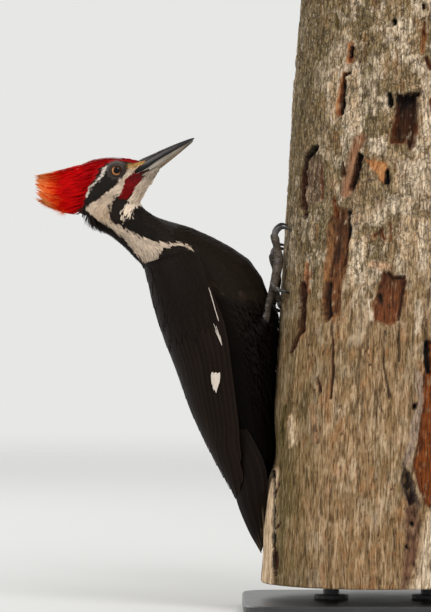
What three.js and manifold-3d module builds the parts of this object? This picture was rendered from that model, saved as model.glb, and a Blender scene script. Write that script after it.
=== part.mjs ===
// A pileated woodpecker, male, life size, clinging upright to a short cut length of dead trunk.
// Millimetres, +Z up. The origin is the middle of the stand's underside. +X runs from the bird
// towards the trunk, and the bird's right side faces -Y. The bird's own left-right mirror plane is Y = 0.
import * as THREE from "three";
import { mergeVertices } from "three/addons/utils/BufferGeometryUtils.js";
import Module from "manifold-3d";

// ---- Driving sizes ----
const GAP = 0.3; // air left between solids that meet
const TOE_GRIP = 0.3; // how much wider than a claw its hole in the wood is

const STAND = { length: 264, width: 216, thickness: 12, corner: 26, bevel: 1.2 };
const ROD = { radius: 7, flange: 15, flangeHeight: 3, height: 46, offsets: [-42, 42] };
const PERCH = {
  bottom: 26,
  top: 532,
  middle: 263, // height at which the axis crosses X = 0 and the radius holds
  radius: 100,
  lean: 0.0594, // sideways run of the axis for each unit of height, towards +X going up
  taper: 0.0113, // loss of radius for each unit of height
  rings: 12,
  sides: 28,
};
const EYE = { x: -240.3, z: 379.3, radius: 6.1, outwards: 11.6 };
const HEAD_PITCH = THREE.MathUtils.degToRad(28);

// ---- Solids ----
const wasm = await Module();
wasm.setup();

// A closed BufferGeometry as a solid that can be joined and cut.
function solid(geometry) {
  const bare = geometry.index ? geometry.toNonIndexed() : geometry.clone();
  bare.deleteAttribute("normal");
  bare.deleteAttribute("uv");
  const merged = mergeVertices(bare, 1e-3);
  return new wasm.Manifold(
    new wasm.Mesh({
      numProp: 3,
      vertProperties: new Float32Array(merged.getAttribute("position").array),
      triVerts: new Uint32Array(merged.index.array),
    }),
  );
}

// The biggest body of a cut solid, so that a loose sliver is never kept.
function largest(cut) {
  const bodies = cut.decompose();
  return bodies.reduce((best, body) => (body.volume() > best.volume() ? body : best));
}

function geometryOf(made) {
  const mesh = made.getMesh();
  const places = new Float32Array(mesh.numVert * 3);
  for (let i = 0; i < mesh.numVert; i++) {
    places.set(mesh.vertProperties.subarray(i * mesh.numProp, i * mesh.numProp + 3), i * 3);
  }
  const geometry = new THREE.BufferGeometry();
  geometry.setAttribute("position", new THREE.BufferAttribute(places, 3));
  geometry.setIndex(new THREE.BufferAttribute(mesh.triVerts, 1));
  geometry.computeVertexNormals();
  return geometry;
}

// Values that run smoothly through rows of [parameter, value, value, ...].
function smooth(rows) {
  const curve = new THREE.CubicInterpolant(
    rows.map((row) => row[0]),
    rows.flatMap((row) => row.slice(1)),
    rows[0].length - 1,
  );
  return (t) => Array.from(curve.evaluate(t));
}

// Numbers each row of sizes 0, 1, 2, ... so that smooth() can run through them.
const numbered = (rows) => rows.map((row, i) => [i, ...row]);

// A closed skin over rings of points, with each end closed by a fan.
function skin(rings) {
  const around = rings[0].length;
  const points = rings.flat();
  const faces = [];
  for (let i = 0; i + 1 < rings.length; i++) {
    for (let k = 0; k < around; k++) {
      const a = i * around + k;
      const b = i * around + ((k + 1) % around);
      faces.push(a, b, a + around, b, b + around, a + around);
    }
  }
  const ends = [rings[0], rings[rings.length - 1]];
  ends.forEach((ring, end) => {
    const hub = points.length;
    const start = end ? (rings.length - 1) * around : 0;
    points.push(ring.reduce((sum, p) => sum.add(p), new THREE.Vector3()).divideScalar(around));
    for (let k = 0; k < around; k++) {
      const a = start + k;
      const b = start + ((k + 1) % around);
      faces.push(...(end ? [hub, a, b] : [hub, b, a]));
    }
  });
  const geometry = new THREE.BufferGeometry().setFromPoints(points);
  geometry.setIndex(faces);
  return outwards(geometry);
}

// The same faces, turned so that they point out of the body.
function outwards(geometry) {
  const p = geometry.getAttribute("position");
  const [a, b, c] = [0, 1, 2].map(() => new THREE.Vector3());
  const index = geometry.index.array;
  let volume = 0;
  for (let i = 0; i < index.length; i += 3) {
    a.fromBufferAttribute(p, index[i]);
    b.fromBufferAttribute(p, index[i + 1]);
    c.fromBufferAttribute(p, index[i + 2]);
    volume += a.dot(b.cross(c));
  }
  if (volume < 0) {
    for (let i = 0; i < index.length; i += 3) {
      [index[i + 1], index[i + 2]] = [index[i + 2], index[i + 1]];
    }
  }
  return geometry;
}

// A body whose sections each run from a back point to a belly point, with a half width.
// Rows are [back x, back z, belly x, belly z, half width].
function bodyLoft(rows, { rings, around, grow = 0, fullness = 0.92 }) {
  const at = smooth(numbered(rows));
  const made = [];
  for (let i = 0; i <= rings; i++) {
    const [bx, bz, vx, vz, half] = at((i / rings) * (rows.length - 1));
    const back = new THREE.Vector3(bx, 0, bz);
    const belly = new THREE.Vector3(vx, 0, vz);
    const middle = back.clone().add(belly).divideScalar(2);
    const reach = back.clone().sub(middle);
    reach.setLength(reach.length() + grow);
    const ring = [];
    for (let k = 0; k < around; k++) {
      const turn = (2 * Math.PI * k) / around;
      const up = Math.cos(turn);
      const out = Math.sin(turn);
      const point = middle.clone().addScaledVector(reach, Math.sign(up) * Math.abs(up) ** fullness);
      point.y = (half + grow) * Math.sign(out) * Math.abs(out) ** fullness;
      ring.push(point);
    }
    made.push(ring);
  }
  return skin(made);
}

// A round limb along a smooth path. Rows are [x, y, z, radius].
function limb(rows, { rings = 10, around = 10, grow = 0 } = {}) {
  const path = new THREE.CatmullRomCurve3(rows.map(([x, y, z]) => new THREE.Vector3(x, y, z)));
  const radius = smooth(numbered(rows.map((row) => [row[3]])));
  const side = new THREE.Vector3(0, 1, 0);
  const made = [];
  for (let i = 0; i <= rings; i++) {
    const t = i / rings;
    const middle = path.getPoint(t);
    const along = path.getTangent(t);
    const first = side.clone().addScaledVector(along, -side.dot(along)).normalize();
    const second = along.clone().cross(first);
    const reach = Math.max(0.2, radius(t * (rows.length - 1))[0]) + grow;
    const ring = [];
    for (let k = 0; k < around; k++) {
      const turn = (2 * Math.PI * k) / around;
      ring.push(
        middle
          .clone()
          .addScaledVector(first, reach * Math.cos(turn))
          .addScaledVector(second, reach * Math.sin(turn)),
      );
    }
    made.push(ring);
    side.copy(first);
  }
  return skin(made);
}

// A flat knife for parting a body along the line from one point of its mirror plane to another.
function knife([x0, z0], [x1, z1]) {
  const length = Math.hypot(x1 - x0, z1 - z0);
  const blade = new THREE.BoxGeometry(length, 120, GAP);
  blade.rotateY(-Math.atan2(z1 - z0, x1 - x0));
  blade.translate((x0 + x1) / 2, 0, (z0 + z1) / 2);
  return solid(blade);
}

// ---- Perch: a leaning, tapering length of dead trunk, with a peeled strip and a worn hollow ----
const axisAt = (z) => PERCH.lean * (z - PERCH.middle);

function perchRadius(turn, z) {
  const plain = PERCH.radius - PERCH.taper * (z - PERCH.middle);
  const waves = 1.2 * Math.sin(3 * turn + 0.011 * z) + 0.6 * Math.sin(5 * turn - 0.017 * z);
  const facing = Math.PI; // the side that the bird is on
  const near = (centre, reach, at) => Math.exp(-(((at - centre) / reach) ** 2));
  const hollow = 5.2 * near(facing, 0.3, turn) * near(139, 22, z);
  const strip = 2.6 * near(facing, 0.13, turn) * near(86, 26, z);
  const footing = 1.3 * near(facing, 0.5, turn) * THREE.MathUtils.smoothstep(60 - z, 0, 28);
  const calm = 1 - 0.8 * near(facing, 0.5, turn);
  return plain + waves * calm - hollow + strip - footing;
}

function perch(grow = 0) {
  const made = [];
  for (let i = 0; i <= PERCH.rings; i++) {
    const z = THREE.MathUtils.lerp(PERCH.bottom, PERCH.top, i / PERCH.rings);
    const ring = [];
    for (let k = 0; k < PERCH.sides; k++) {
      const turn = (2 * Math.PI * k) / PERCH.sides;
      const reach = perchRadius(turn, z) + grow;
      ring.push(new THREE.Vector3(axisAt(z) + reach * Math.cos(turn), reach * Math.sin(turn), z));
    }
    made.push(ring);
  }
  return solid(skin(made));
}

// ---- Stand: a plate and two rods that rise from flanges into the perch ----
function standPlate() {
  const { length, width, corner, thickness, bevel } = STAND;
  const [x, y] = [length / 2 - bevel, width / 2 - bevel];
  const outline = new THREE.Shape();
  outline.absarc(x - corner, y - corner, corner, 0, Math.PI / 2);
  outline.absarc(corner - x, y - corner, corner, Math.PI / 2, Math.PI);
  outline.absarc(corner - x, corner - y, corner, Math.PI, 1.5 * Math.PI);
  outline.absarc(x - corner, corner - y, corner, 1.5 * Math.PI, 2 * Math.PI);
  const plate = new THREE.ExtrudeGeometry(outline, {
    depth: thickness - 2 * bevel,
    bevelThickness: bevel,
    bevelSize: bevel,
    bevelSegments: 1,
    curveSegments: 4,
  });
  plate.translate(0, 0, bevel);
  return solid(plate);
}

function rod(x, grow = 0) {
  const { radius, flange, flangeHeight, height } = ROD;
  const profile = [
    [0, 0],
    [flange, 0],
    [flange, flangeHeight],
    [radius + grow, flangeHeight + 0.5],
    [radius + grow, height + grow],
    [0, height + grow],
  ];
  const turned = new THREE.LatheGeometry(profile.map(([r, z]) => new THREE.Vector2(r, z)), 14);
  turned.rotateX(Math.PI / 2);
  turned.translate(x + axisAt(PERCH.bottom), 0, STAND.thickness);
  return solid(outwards(mergeVertices(turned)));
}

// ---- Head: built about the eyes, looking along +X, then pitched up and set in place ----
const headPlace = new THREE.Matrix4()
  .makeTranslation(EYE.x, 0, EYE.z)
  .multiply(new THREE.Matrix4().makeRotationY(-HEAD_PITCH));
const inPlace = (geometry) => solid(geometry.applyMatrix4(headPlace));

// Crown and throat points of each section from the back of the skull to the face, and half widths.
const HEAD_ROWS = [
  [-31, 14, -27, -8, 5],
  [-26, 18.5, -24, -20, 12.5],
  [-16, 19, -17, -28, 16.5],
  [-5, 15.8, -6, -32, 18.2],
  [4, 11.3, 5, -31, 17.6],
  [11, 6.8, 15, -26, 13.8],
  [16, 2.4, 24, -21.2, 9.8],
  [19.5, 0.2, 32.5, -17.8, 6.5],
];
const head = (grow = 0) => inPlace(bodyLoft(HEAD_ROWS, { rings: 10, around: 16, grow }));

// The room of the bill: forwards of a line from the brow down to the gape, and above the chin.
const BILL_ROOM = [
  [18.8, 2.4],
  [15, -4],
  [13.2, -8.4],
  [20, -13.6],
  [31, -16.2],
  [46, -14],
  [80, -10],
  [80, 4],
];

function billRoom(shrink = 0) {
  const outline = BILL_ROOM.map(([x, z]) => new THREE.Vector2(x + shrink, z + 0.7 * shrink));
  const wedge = new THREE.ExtrudeGeometry(new THREE.Shape(outline), {
    depth: 40,
    bevelEnabled: false,
  });
  wedge.rotateX(Math.PI / 2);
  wedge.translate(0, 20, 0);
  return inPlace(wedge);
}

function eye(side, grow = 0) {
  const ball = new THREE.SphereGeometry(EYE.radius + grow, 12, 8);
  ball.translate(0, side * EYE.outwards, 0);
  return inPlace(ball);
}

// One half of the bill: arched sections over a flat biting edge that rises slightly to the tip.
// Rows are [forwards, ridge height, half width], and side is 1 for the upper half, -1 for the lower.
const BITE = { height: -8.2, start: 11, rise: 0.02 };

function mandible(rows, side) {
  const at = smooth(numbered(rows));
  const steps = 9;
  const arc = 6;
  const made = [];
  for (let i = 0; i <= steps; i++) {
    const [forwards, ridge, half] = at((i / steps) * (rows.length - 1));
    const edge = BITE.height + BITE.rise * (forwards - BITE.start) + (side * GAP) / 2;
    const ring = [];
    for (let k = 0; k <= arc; k++) {
      const turn = (Math.PI * k) / arc;
      const rise = Math.sin(turn) ** 0.85 * (ridge - edge);
      ring.push(new THREE.Vector3(forwards, half * Math.cos(turn), edge + rise));
    }
    made.push(ring);
  }
  return inPlace(skin(made)).intersect(billRoom(GAP));
}

const UPPER_BILL = [
  [12, -1.2, 7.6],
  [20, -0.5, 7.2],
  [31, -1.1, 5.8],
  [43, -1.9, 4.4],
  [55, -3.0, 3.1],
  [65, -4.4, 1.9],
  [71.2, -5.9, 0.7],
];
const LOWER_BILL = [
  [12, -15.2, 7.0],
  [21, -15.8, 6.7],
  [31, -15.9, 5.5],
  [42, -14.0, 4.3],
  [52, -12.0, 3.1],
  [62, -10.0, 2.0],
  [69.6, -8.1, 0.8],
];

// ---- Crest: a flat-sided brush of long feathers swept back from the crown and nape ----
const CREST_ROWS = [
  [-246, 390, -252, 345, 15.5],
  [-262, 387.4, -265, 340, 13],
  [-278, 383.6, -279, 341.4, 9],
  [-294, 379.6, -291.5, 345, 5.8],
  [-305.5, 376, -303.5, 350.6, 3.2],
  [-312.2, 371.4, -311.2, 357.6, 1],
];
const crest = () => solid(bodyLoft(CREST_ROWS, { rings: 7, around: 14 }));

// ---- Neck and trunk: one body from inside the head to the coverts under the tail ----
const BODY_ROWS = [
  [-262, 352, -231, 362, 10],
  [-268.5, 340.5, -221, 355, 16.5],
  [-255.8, 329.2, -217.6, 348.8, 16.5],
  [-243.4, 321.4, -210.6, 342.8, 17],
  [-233.4, 312.6, -200.3, 338.3, 19],
  [-225, 304, -185.5, 334.2, 22.5],
  [-217.6, 296, -168.2, 328, 27.5],
  [-212.9, 281.6, -144.7, 316.5, 33.5],
  [-207.5, 261.4, -123.2, 301, 38],
  [-198.4, 235.6, -110.3, 276.9, 39.5],
  [-181.5, 204.7, -102.6, 242.5, 38],
  [-165.5, 177.2, -104.2, 206.4, 33],
  [-152, 153.1, -105.6, 172, 26],
  [-139.5, 133.3, -104.4, 142.8, 17.5],
  [-128.3, 117, -109.4, 120.4, 8.5],
  [-121.5, 108.4, -115.5, 110.1, 2.5],
];
const body = (grow = 0) => solid(bodyLoft(BODY_ROWS, { rings: 21, around: 18, grow }));

// ---- Tail: ten stiff feathers closed into one tent-shaped blade that props on the trunk ----
// Rows are [ridge x, ridge z, half width, how far the sides sweep forwards, thickness].
const TAIL_ROWS = [
  [-155, 162, 21, 18, 3.4],
  [-147.8, 140, 25.5, 25, 3.2],
  [-141, 115.2, 27, 28, 2.8],
  [-135, 91.5, 23, 21, 2.4],
  [-126.3, 70.5, 14.5, 12, 2.0],
  [-119.6, 57.6, 7, 4.8, 1.6],
  [-116.2, 51.4, 2.2, 1, 1.2],
];

// The blade itself, or, when filled, all the room under the tent.
function tail({ filled = false, grow = 0 } = {}) {
  const at = smooth(numbered(TAIL_ROWS));
  const steps = 8;
  const arc = 8;
  const made = [];
  for (let i = 0; i <= steps; i++) {
    const t = (i / steps) * (TAIL_ROWS.length - 1);
    const [x, z, half, sweep, thick] = at(t);
    const [aheadX, aheadZ] = at(Math.min(t + 0.05, TAIL_ROWS.length - 1));
    const [behindX, behindZ] = at(Math.max(t - 0.05, 0));
    const along = new THREE.Vector2(aheadX - behindX, aheadZ - behindZ).normalize();
    const forwards = new THREE.Vector3(-along.y, 0, along.x);
    const surface = (inner) => (k) => {
      const across = (2 * k) / arc - 1;
      const bow = Math.sin((across * Math.PI) / 2);
      const outer = sweep * (1 - Math.cos((across * Math.PI) / 2)) - grow;
      const depth = inner ? (filled ? 60 : outer + thick * (1 - 0.6 * across ** 2)) : outer;
      const point = new THREE.Vector3(x, 0, z).addScaledVector(forwards, depth);
      point.y = (half + grow) * bow * (filled ? 1 : 1 - 0.02 * inner);
      return point;
    };
    const steady = Array.from({ length: arc + 1 }, (_, k) => k);
    made.push([...steady.map(surface(0)), ...steady.reverse().map(surface(1))]);
  }
  return solid(skin(made));
}

// ---- Wings: folded over the flanks and tail, cut to the outline of the closed wing ----
const WING_ROWS = [
  [-218.5, 304, -172, 328, 27],
  [-216.3, 297, -160, 322.5, 33],
  [-212.6, 282.1, -143, 314.8, 40],
  [-207.8, 261.4, -123.2, 301, 45],
  [-199.6, 235.6, -112, 276.9, 46.5],
  [-187.9, 204.7, -106.9, 242.5, 45],
  [-178.6, 177.2, -107, 206.4, 39.5],
  [-167.1, 151.4, -108.6, 172, 33],
  [-155.9, 129, -112, 142.8, 27],
  [-145.2, 109.2, -115.5, 115.2, 20.5],
  [-138.8, 97, -118.9, 101.5, 12],
];
const wingHull = () => solid(bodyLoft(WING_ROWS, { rings: 13, around: 20 }));

// The closed wing seen from the side: shoulder, leading edge and tips.
const WING_EDGE = [
  [-209, 300],
  [-203.2, 310],
  [-191.2, 315],
  [-180, 313.5],
  [-171.5, 305],
  [-165.5, 290],
  [-158.5, 268],
  [-151.6, 244],
  [-147, 215],
  [-142.5, 180],
  [-136.5, 140],
  [-133.5, 112],
  [-137.5, 95],
];
// From the tips back up to the shoulder, well outside the body.
const WING_OUTSIDE = [
  [-160, 90],
  [-235, 172],
  [-235, 300],
];
// Half of the mantle seen from behind, which lies between the wings: [sideways, height].
const MANTLE = [
  [0, 208],
  [11, 222],
  [19, 243],
  [24, 270],
  [26, 330],
];

// A prism along Y or along X over a closed outline, from one distance out to another.
function prism(outline, along, from, to, curveSegments = 3) {
  const depth = to - from;
  const made = new THREE.ExtrudeGeometry(outline, { depth, bevelEnabled: false, curveSegments });
  if (along === "y") {
    made.rotateX(Math.PI / 2);
    made.translate(0, to, 0);
  } else {
    made.rotateX(Math.PI / 2);
    made.rotateZ(Math.PI / 2);
    made.translate(from, 0, 0);
  }
  return solid(made);
}

function wing() {
  const outline = new THREE.Shape();
  outline.moveTo(...WING_EDGE[0]);
  outline.splineThru(WING_EDGE.slice(1).map(([x, z]) => new THREE.Vector2(x, z)));
  WING_OUTSIDE.forEach(([x, z]) => outline.lineTo(x, z));
  const half = MANTLE.map(([y, z]) => new THREE.Vector2(y, z));
  const otherHalf = half.slice(1).reverse().map(({ x, y }) => new THREE.Vector2(-x, y));
  const mantle = prism(new THREE.Shape([...half, ...otherHalf]), "x", -240, -170);
  const room = body(GAP).add(tail({ filled: true, grow: GAP })).add(mantle);
  return wingHull().intersect(prism(outline, "y", -70, -GAP, 2)).subtract(room);
}

// ---- Legs: feathered thigh, scaled shank, two toes up, one out, one down and in ----
// Rows are [x, y, z, radius] of the right leg. The left leg is its mirror image, set lower.
const LEG = {
  thigh: [
    [-152, -18, 226, 9],
    [-139, -23, 232, 14.5],
    [-125, -26, 241, 12.5],
    [-116.5, -26, 247.5, 7.5],
    [-112.4, -25.6, 252, 4.3],
  ],
  shank: [
    [-115, -26, 246.5, 3.4],
    [-113.2, -25.5, 252, 3.5],
    [-110, -24, 266, 2.9],
    [-107, -22.5, 277, 3.1],
    [-106, -22, 282, 3.3],
  ],
};
// Each toe is a path from the foot to its last joint, and each claw a hook on from there.
const TOES = {
  inner: {
    toe: [
      [-106, -19.5, 281, 3.2],
      [-104, -17.5, 291, 3.5],
      [-102, -16, 303, 3.6],
      [-103, -15, 313, 2.9],
      [-105.2, -14.5, 322, 3.3],
      [-105, -14.5, 325, 2.4],
    ],
    claw: [
      [-105.4, -14.5, 321, 2.2],
      [-104.6, -14.6, 328, 2.1],
      [-100, -15.5, 333, 1.5],
      [-94.5, -17, 332.5, 0.8],
      [-92, -18, 330.5, 0.3],
    ],
  },
  outer: {
    toe: [
      [-105.6, -25.5, 281, 3.2],
      [-103.2, -26.5, 291, 3.7],
      [-101, -28, 303, 3.6],
      [-102.5, -29, 312, 2.9],
      [-104.6, -29.5, 320.5, 3.4],
      [-104.4, -29.6, 323.5, 2.5],
    ],
    claw: [
      [-104.8, -29.5, 319.5, 2.3],
      [-103.8, -29.7, 326, 2.2],
      [-99, -30.5, 330, 1.6],
      [-93, -32, 328.5, 0.9],
      [-89.2, -33, 325, 0.3],
    ],
  },
  side: {
    toe: [
      [-106, -22, 281.5, 3.2],
      [-105.8, -28, 280.4, 3.2],
      [-104.8, -34, 278.4, 2.9],
      [-103.8, -37.6, 277.2, 2.3],
    ],
    claw: [
      [-104.2, -36.4, 277.6, 1.9],
      [-101.6, -40.4, 276.8, 1.7],
      [-96, -41, 275.2, 1.1],
      [-91.4, -38.6, 273.6, 0.35],
    ],
  },
  rear: {
    toe: [
      [-104.8, -19, 279, 2.4],
      [-102.5, -15.5, 273, 2.3],
      [-101.2, -12.5, 267, 2.0],
    ],
    claw: [
      [-101.6, -13, 268.5, 1.4],
      [-101.2, -11.5, 263.5, 1.3],
      [-98.6, -11, 260.5, 0.8],
      [-96.6, -11, 259.8, 0.3],
    ],
  },
};
const LEFT_DROP = 17; // how much lower the left foot is

const legPlace = {
  right: new THREE.Matrix4(),
  left: new THREE.Matrix4()
    .makeTranslation(-LEFT_DROP * PERCH.lean, 0, -LEFT_DROP)
    .multiply(new THREE.Matrix4().makeScale(1, -1, 1)),
};

// The right leg's own limb, moved to its side of the bird.
function onSide(side, rows, options) {
  const geometry = limb(rows, options);
  geometry.applyMatrix4(legPlace[side]);
  return solid(outwards(geometry));
}

// ---- Materials ----
const paint = (color, roughness, metalness = 0) =>
  new THREE.MeshStandardMaterial({ color, roughness, metalness });
const FINISH = {
  black: paint(0x1b1816, 0.6),
  red: paint(0xb0101a, 0.7),
  face: paint(0xcfc3b4, 0.75),
  horn: paint(0x4b4c50, 0.4),
  paleHorn: paint(0x8f8f90, 0.4),
  eye: paint(0x0c0a09, 0.08),
  scales: paint(0x5d5c60, 0.6),
  claw: paint(0x2a2625, 0.35),
  wood: paint(0x9c8f7e, 0.9),
  steel: paint(0x1d1e20, 0.45, 0.6),
};

// ---- Assembly ----
const group = new THREE.Group();
group.name = "pileated_woodpecker";

function place(name, made, material) {
  const mesh = new THREE.Mesh(geometryOf(largest(made)), material);
  mesh.name = name;
  group.add(mesh);
}

const perchRoom = perch(GAP);

// Crest, head, neck and trunk are one body, parted by three thin cuts.
const eyes = { right: eye(-1), left: eye(1) };
const sockets = eye(-1, GAP).add(eye(1, GAP)).add(billRoom());
const whole = head().add(crest()).add(body()).subtract(sockets).subtract(perchRoom);
const parted = whole
  .subtract(knife([-275, 334], [-205, 360]))
  .subtract(knife([-228, 286], [-155, 345]))
  .subtract(knife([-254, 402], [-266.2, 337.4]));
const [headPiece, crestPiece, neckPiece, trunkPiece] = parted
  .decompose()
  .filter((piece) => piece.volume() > 1000)
  .sort((a, b) => b.boundingBox().max[2] - a.boundingBox().max[2]);

place("head", headPiece, FINISH.face);
place("bill_upper", mandible(UPPER_BILL, 1), FINISH.horn);
place("bill_lower", mandible(LOWER_BILL, -1), FINISH.paleHorn);
place("eye_right", eyes.right, FINISH.eye);
place("eye_left", eyes.left, FINISH.eye);
place("crest", crestPiece, FINISH.red);
place("neck", neckPiece, FINISH.black);

let legRoom;
const clawHoles = [];
for (const side of ["right", "left"]) {
  const shankRoom = onSide(side, LEG.shank, { rings: 5, around: 8, grow: GAP });
  const thighRoom = onSide(side, LEG.thigh, { rings: 5, around: 10, grow: GAP }).add(shankRoom);
  legRoom = legRoom ? legRoom.add(thighRoom) : thighRoom;
  const thigh = onSide(side, LEG.thigh, { rings: 5, around: 10 });
  place(`thigh_${side}`, thigh.subtract(shankRoom).subtract(perchRoom), FINISH.black);
  place(`shank_${side}`, onSide(side, LEG.shank, { rings: 5, around: 8 }), FINISH.scales);
  let taken = shankRoom;
  for (const [toe, { toe: toeRows, claw: clawRows }] of Object.entries(TOES)) {
    const clawRoom = onSide(side, clawRows, { rings: 5, around: 6, grow: TOE_GRIP });
    clawHoles.push(clawRoom);
    const made = onSide(side, toeRows, { rings: 5, around: 6 });
    place(`toe_${toe}_${side}`, made.subtract(taken).subtract(clawRoom).subtract(perchRoom), FINISH.scales);
    place(`claw_${toe}_${side}`, onSide(side, clawRows, { rings: 5, around: 6 }), FINISH.claw);
    taken = taken.add(onSide(side, toeRows, { rings: 5, around: 6, grow: GAP }));
  }
}

const wingPiece = wing().subtract(legRoom);
place("trunk", trunkPiece.subtract(legRoom), FINISH.black);
place("wing_right", wingPiece, FINISH.black);
place("wing_left", wingPiece.mirror([0, 1, 0]), FINISH.black);
place("tail", tail().subtract(body(GAP)).subtract(perchRoom), FINISH.black);

const rods = ROD.offsets.map((x) => rod(x));
let drilled = perch();
for (const hole of [...clawHoles, ...ROD.offsets.map((x) => rod(x, GAP))]) {
  drilled = drilled.subtract(hole);
}
place("perch", drilled, FINISH.wood);
place("stand_base", standPlate(), FINISH.steel);
rods.forEach((made, i) => place(`stand_rod_${i + 1}`, made, FINISH.steel));

export default group;
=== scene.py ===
from math import cos, pi, radians, sin, tau

import bpy
import numpy as np
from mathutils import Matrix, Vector
from mathutils.bvhtree import BVHTree


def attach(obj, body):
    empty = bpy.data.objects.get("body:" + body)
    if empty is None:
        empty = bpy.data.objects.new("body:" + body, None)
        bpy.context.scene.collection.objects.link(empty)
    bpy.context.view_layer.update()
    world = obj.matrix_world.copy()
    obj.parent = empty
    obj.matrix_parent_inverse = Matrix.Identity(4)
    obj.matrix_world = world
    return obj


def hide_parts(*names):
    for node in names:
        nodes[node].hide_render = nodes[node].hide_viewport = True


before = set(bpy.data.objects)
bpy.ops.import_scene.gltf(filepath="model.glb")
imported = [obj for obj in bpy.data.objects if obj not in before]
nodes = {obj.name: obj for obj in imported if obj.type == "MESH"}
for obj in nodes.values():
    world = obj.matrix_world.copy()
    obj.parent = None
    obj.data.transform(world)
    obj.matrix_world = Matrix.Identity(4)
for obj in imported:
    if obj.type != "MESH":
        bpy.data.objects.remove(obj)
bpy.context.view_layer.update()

# ---- Studio: pale floor, pale air, three soft lights and a level camera ----
# The floor is a wide disc that fades into the air's own colour, so that no edge shows.
# The camera looks along +Y at the bird's right side, level, from far enough to keep lines straight.
MM = 0.001


class Wire:
    """A socket of a material's nodes. Sums written on wires add the Math nodes."""

    def __init__(self, tree, socket=None):
        self.tree = tree
        self.socket = socket

    def node(self, kind, settings=None, sockets=None, out=0):
        """Any node: its settings first, then the values or links of its sockets."""
        made = self.tree.nodes.new(kind)
        for name, value in (settings or {}).items():
            setattr(made, name, value)
        for name, value in (sockets or {}).items():
            if isinstance(value, Wire):
                self.tree.links.new(value.socket, made.inputs[name])
            else:
                made.inputs[name].default_value = value
        return Wire(self.tree, made.outputs[out])

    def _sum(self, operation, first, second):
        return self.node("ShaderNodeMath", {"operation": operation}, {0: first, 1: second})

    def __add__(self, other):
        return self._sum("ADD", self, other)

    __radd__ = __add__

    def __mul__(self, other):
        return self._sum("MULTIPLY", self, other)

    __rmul__ = __mul__

    def __sub__(self, other):
        return self._sum("SUBTRACT", self, other)

    def __rsub__(self, other):
        return self._sum("SUBTRACT", other, self)

    def __pow__(self, other):
        return self._sum("POWER", self, other)

    def step(self, low, high):
        """0 below low, 1 above high, and smooth between."""
        settings = {"interpolation_type": "SMOOTHSTEP"}
        return self.node("ShaderNodeMapRange", settings, {"Value": self, 1: low, 2: high})

    def mixed(self, other, share, mode="MIX"):
        """This colour taken by a share towards another: a wire, four numbers or a code."""
        if isinstance(other, str):
            other = (*tint(other), 1)
        settings = {"data_type": "RGBA", "blend_type": mode}
        return self.node("ShaderNodeMix", settings, {0: share, 6: self, 7: other}, out=2)

    def stretched(self, x, y, z):
        """This place scaled along each axis."""
        return self.node("ShaderNodeVectorMath", {"operation": "MULTIPLY"}, {0: self, 1: (x, y, z)})

    def noise(self, scale, detail=3.0, rough=0.55):
        """Cloudy noise from 0 to 1 at this place."""
        sockets = {"Vector": self, "Scale": scale, "Detail": detail, "Roughness": rough}
        return self.node("ShaderNodeTexNoise", {}, sockets)

    def part(self, axis):
        """One axis of a vector, 0 for x."""
        return self.node("ShaderNodeSeparateXYZ", {}, {0: self}, out=axis)

    def painted(self, name, out=0):
        """A value painted on the mesh under a name: 0 for its colour, 1 for its vector."""
        return self.node("ShaderNodeAttribute", {"attribute_name": name}, out=out)

    def feed(self, socket):
        """Plugs this wire into the material's shader."""
        self.tree.links.new(self.socket, self.tree.nodes["Principled BSDF"].inputs[socket])

    def emboss(self, strength, depth):
        """Uses this wire as a height that roughens the surface, up to a depth in metres."""
        sockets = {"Strength": strength, "Distance": depth, "Height": self}
        self.node("ShaderNodeBump", {}, sockets).feed("Normal")


def finish(name, **fixed):
    """A new material with its fixed numbers, and the place on it in metres."""
    material = bpy.data.materials.new(name)
    material.use_nodes = True
    shader = material.node_tree.nodes["Principled BSDF"]
    for socket, value in fixed.items():
        shader.inputs[socket.replace("_", " ")].default_value = value
    place = Wire(material.node_tree).node("ShaderNodeTexCoord", out=3)
    return material, place


def shape(name, points, *face_sets, material=None):
    """A mesh object from points and sets of faces, each set with its own number of corners."""
    mesh = bpy.data.meshes.new(name)
    points = np.asarray(points, np.float32)
    mesh.vertices.add(len(points))
    mesh.vertices.foreach_set("co", points.ravel())
    corners = np.concatenate([np.asarray(faces, np.int32).ravel() for faces in face_sets])
    sizes = np.concatenate([np.full(len(faces), faces.shape[1]) for faces in face_sets])
    mesh.loops.add(len(corners))
    mesh.loops.foreach_set("vertex_index", corners)
    mesh.polygons.add(len(sizes))
    starts = np.concatenate([[0], np.cumsum(sizes)[:-1]])
    mesh.polygons.foreach_set("loop_start", starts.astype(np.int32))
    mesh.polygons.foreach_set("use_smooth", np.ones(len(sizes), bool))
    mesh.update(calc_edges=True)
    piece = bpy.data.objects.new(name, mesh)
    bpy.context.scene.collection.objects.link(piece)
    if material:
        mesh.materials.append(material)
    return piece


AIR = (0.80, 0.80, 0.785)
FLOOR_REACH = 6.0
FLOOR_SIDES = 96
FLOOR_DROP = 0.0004  # just under the stand, so that the two don't flicker

world = bpy.data.worlds.new("air")
bpy.context.scene.world = world
world.use_nodes = True
world.node_tree.nodes["Background"].inputs["Color"].default_value = (*AIR, 1)
world.node_tree.nodes["Background"].inputs["Strength"].default_value = 1.0
bpy.context.scene.view_settings.view_transform = "Standard"

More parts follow.
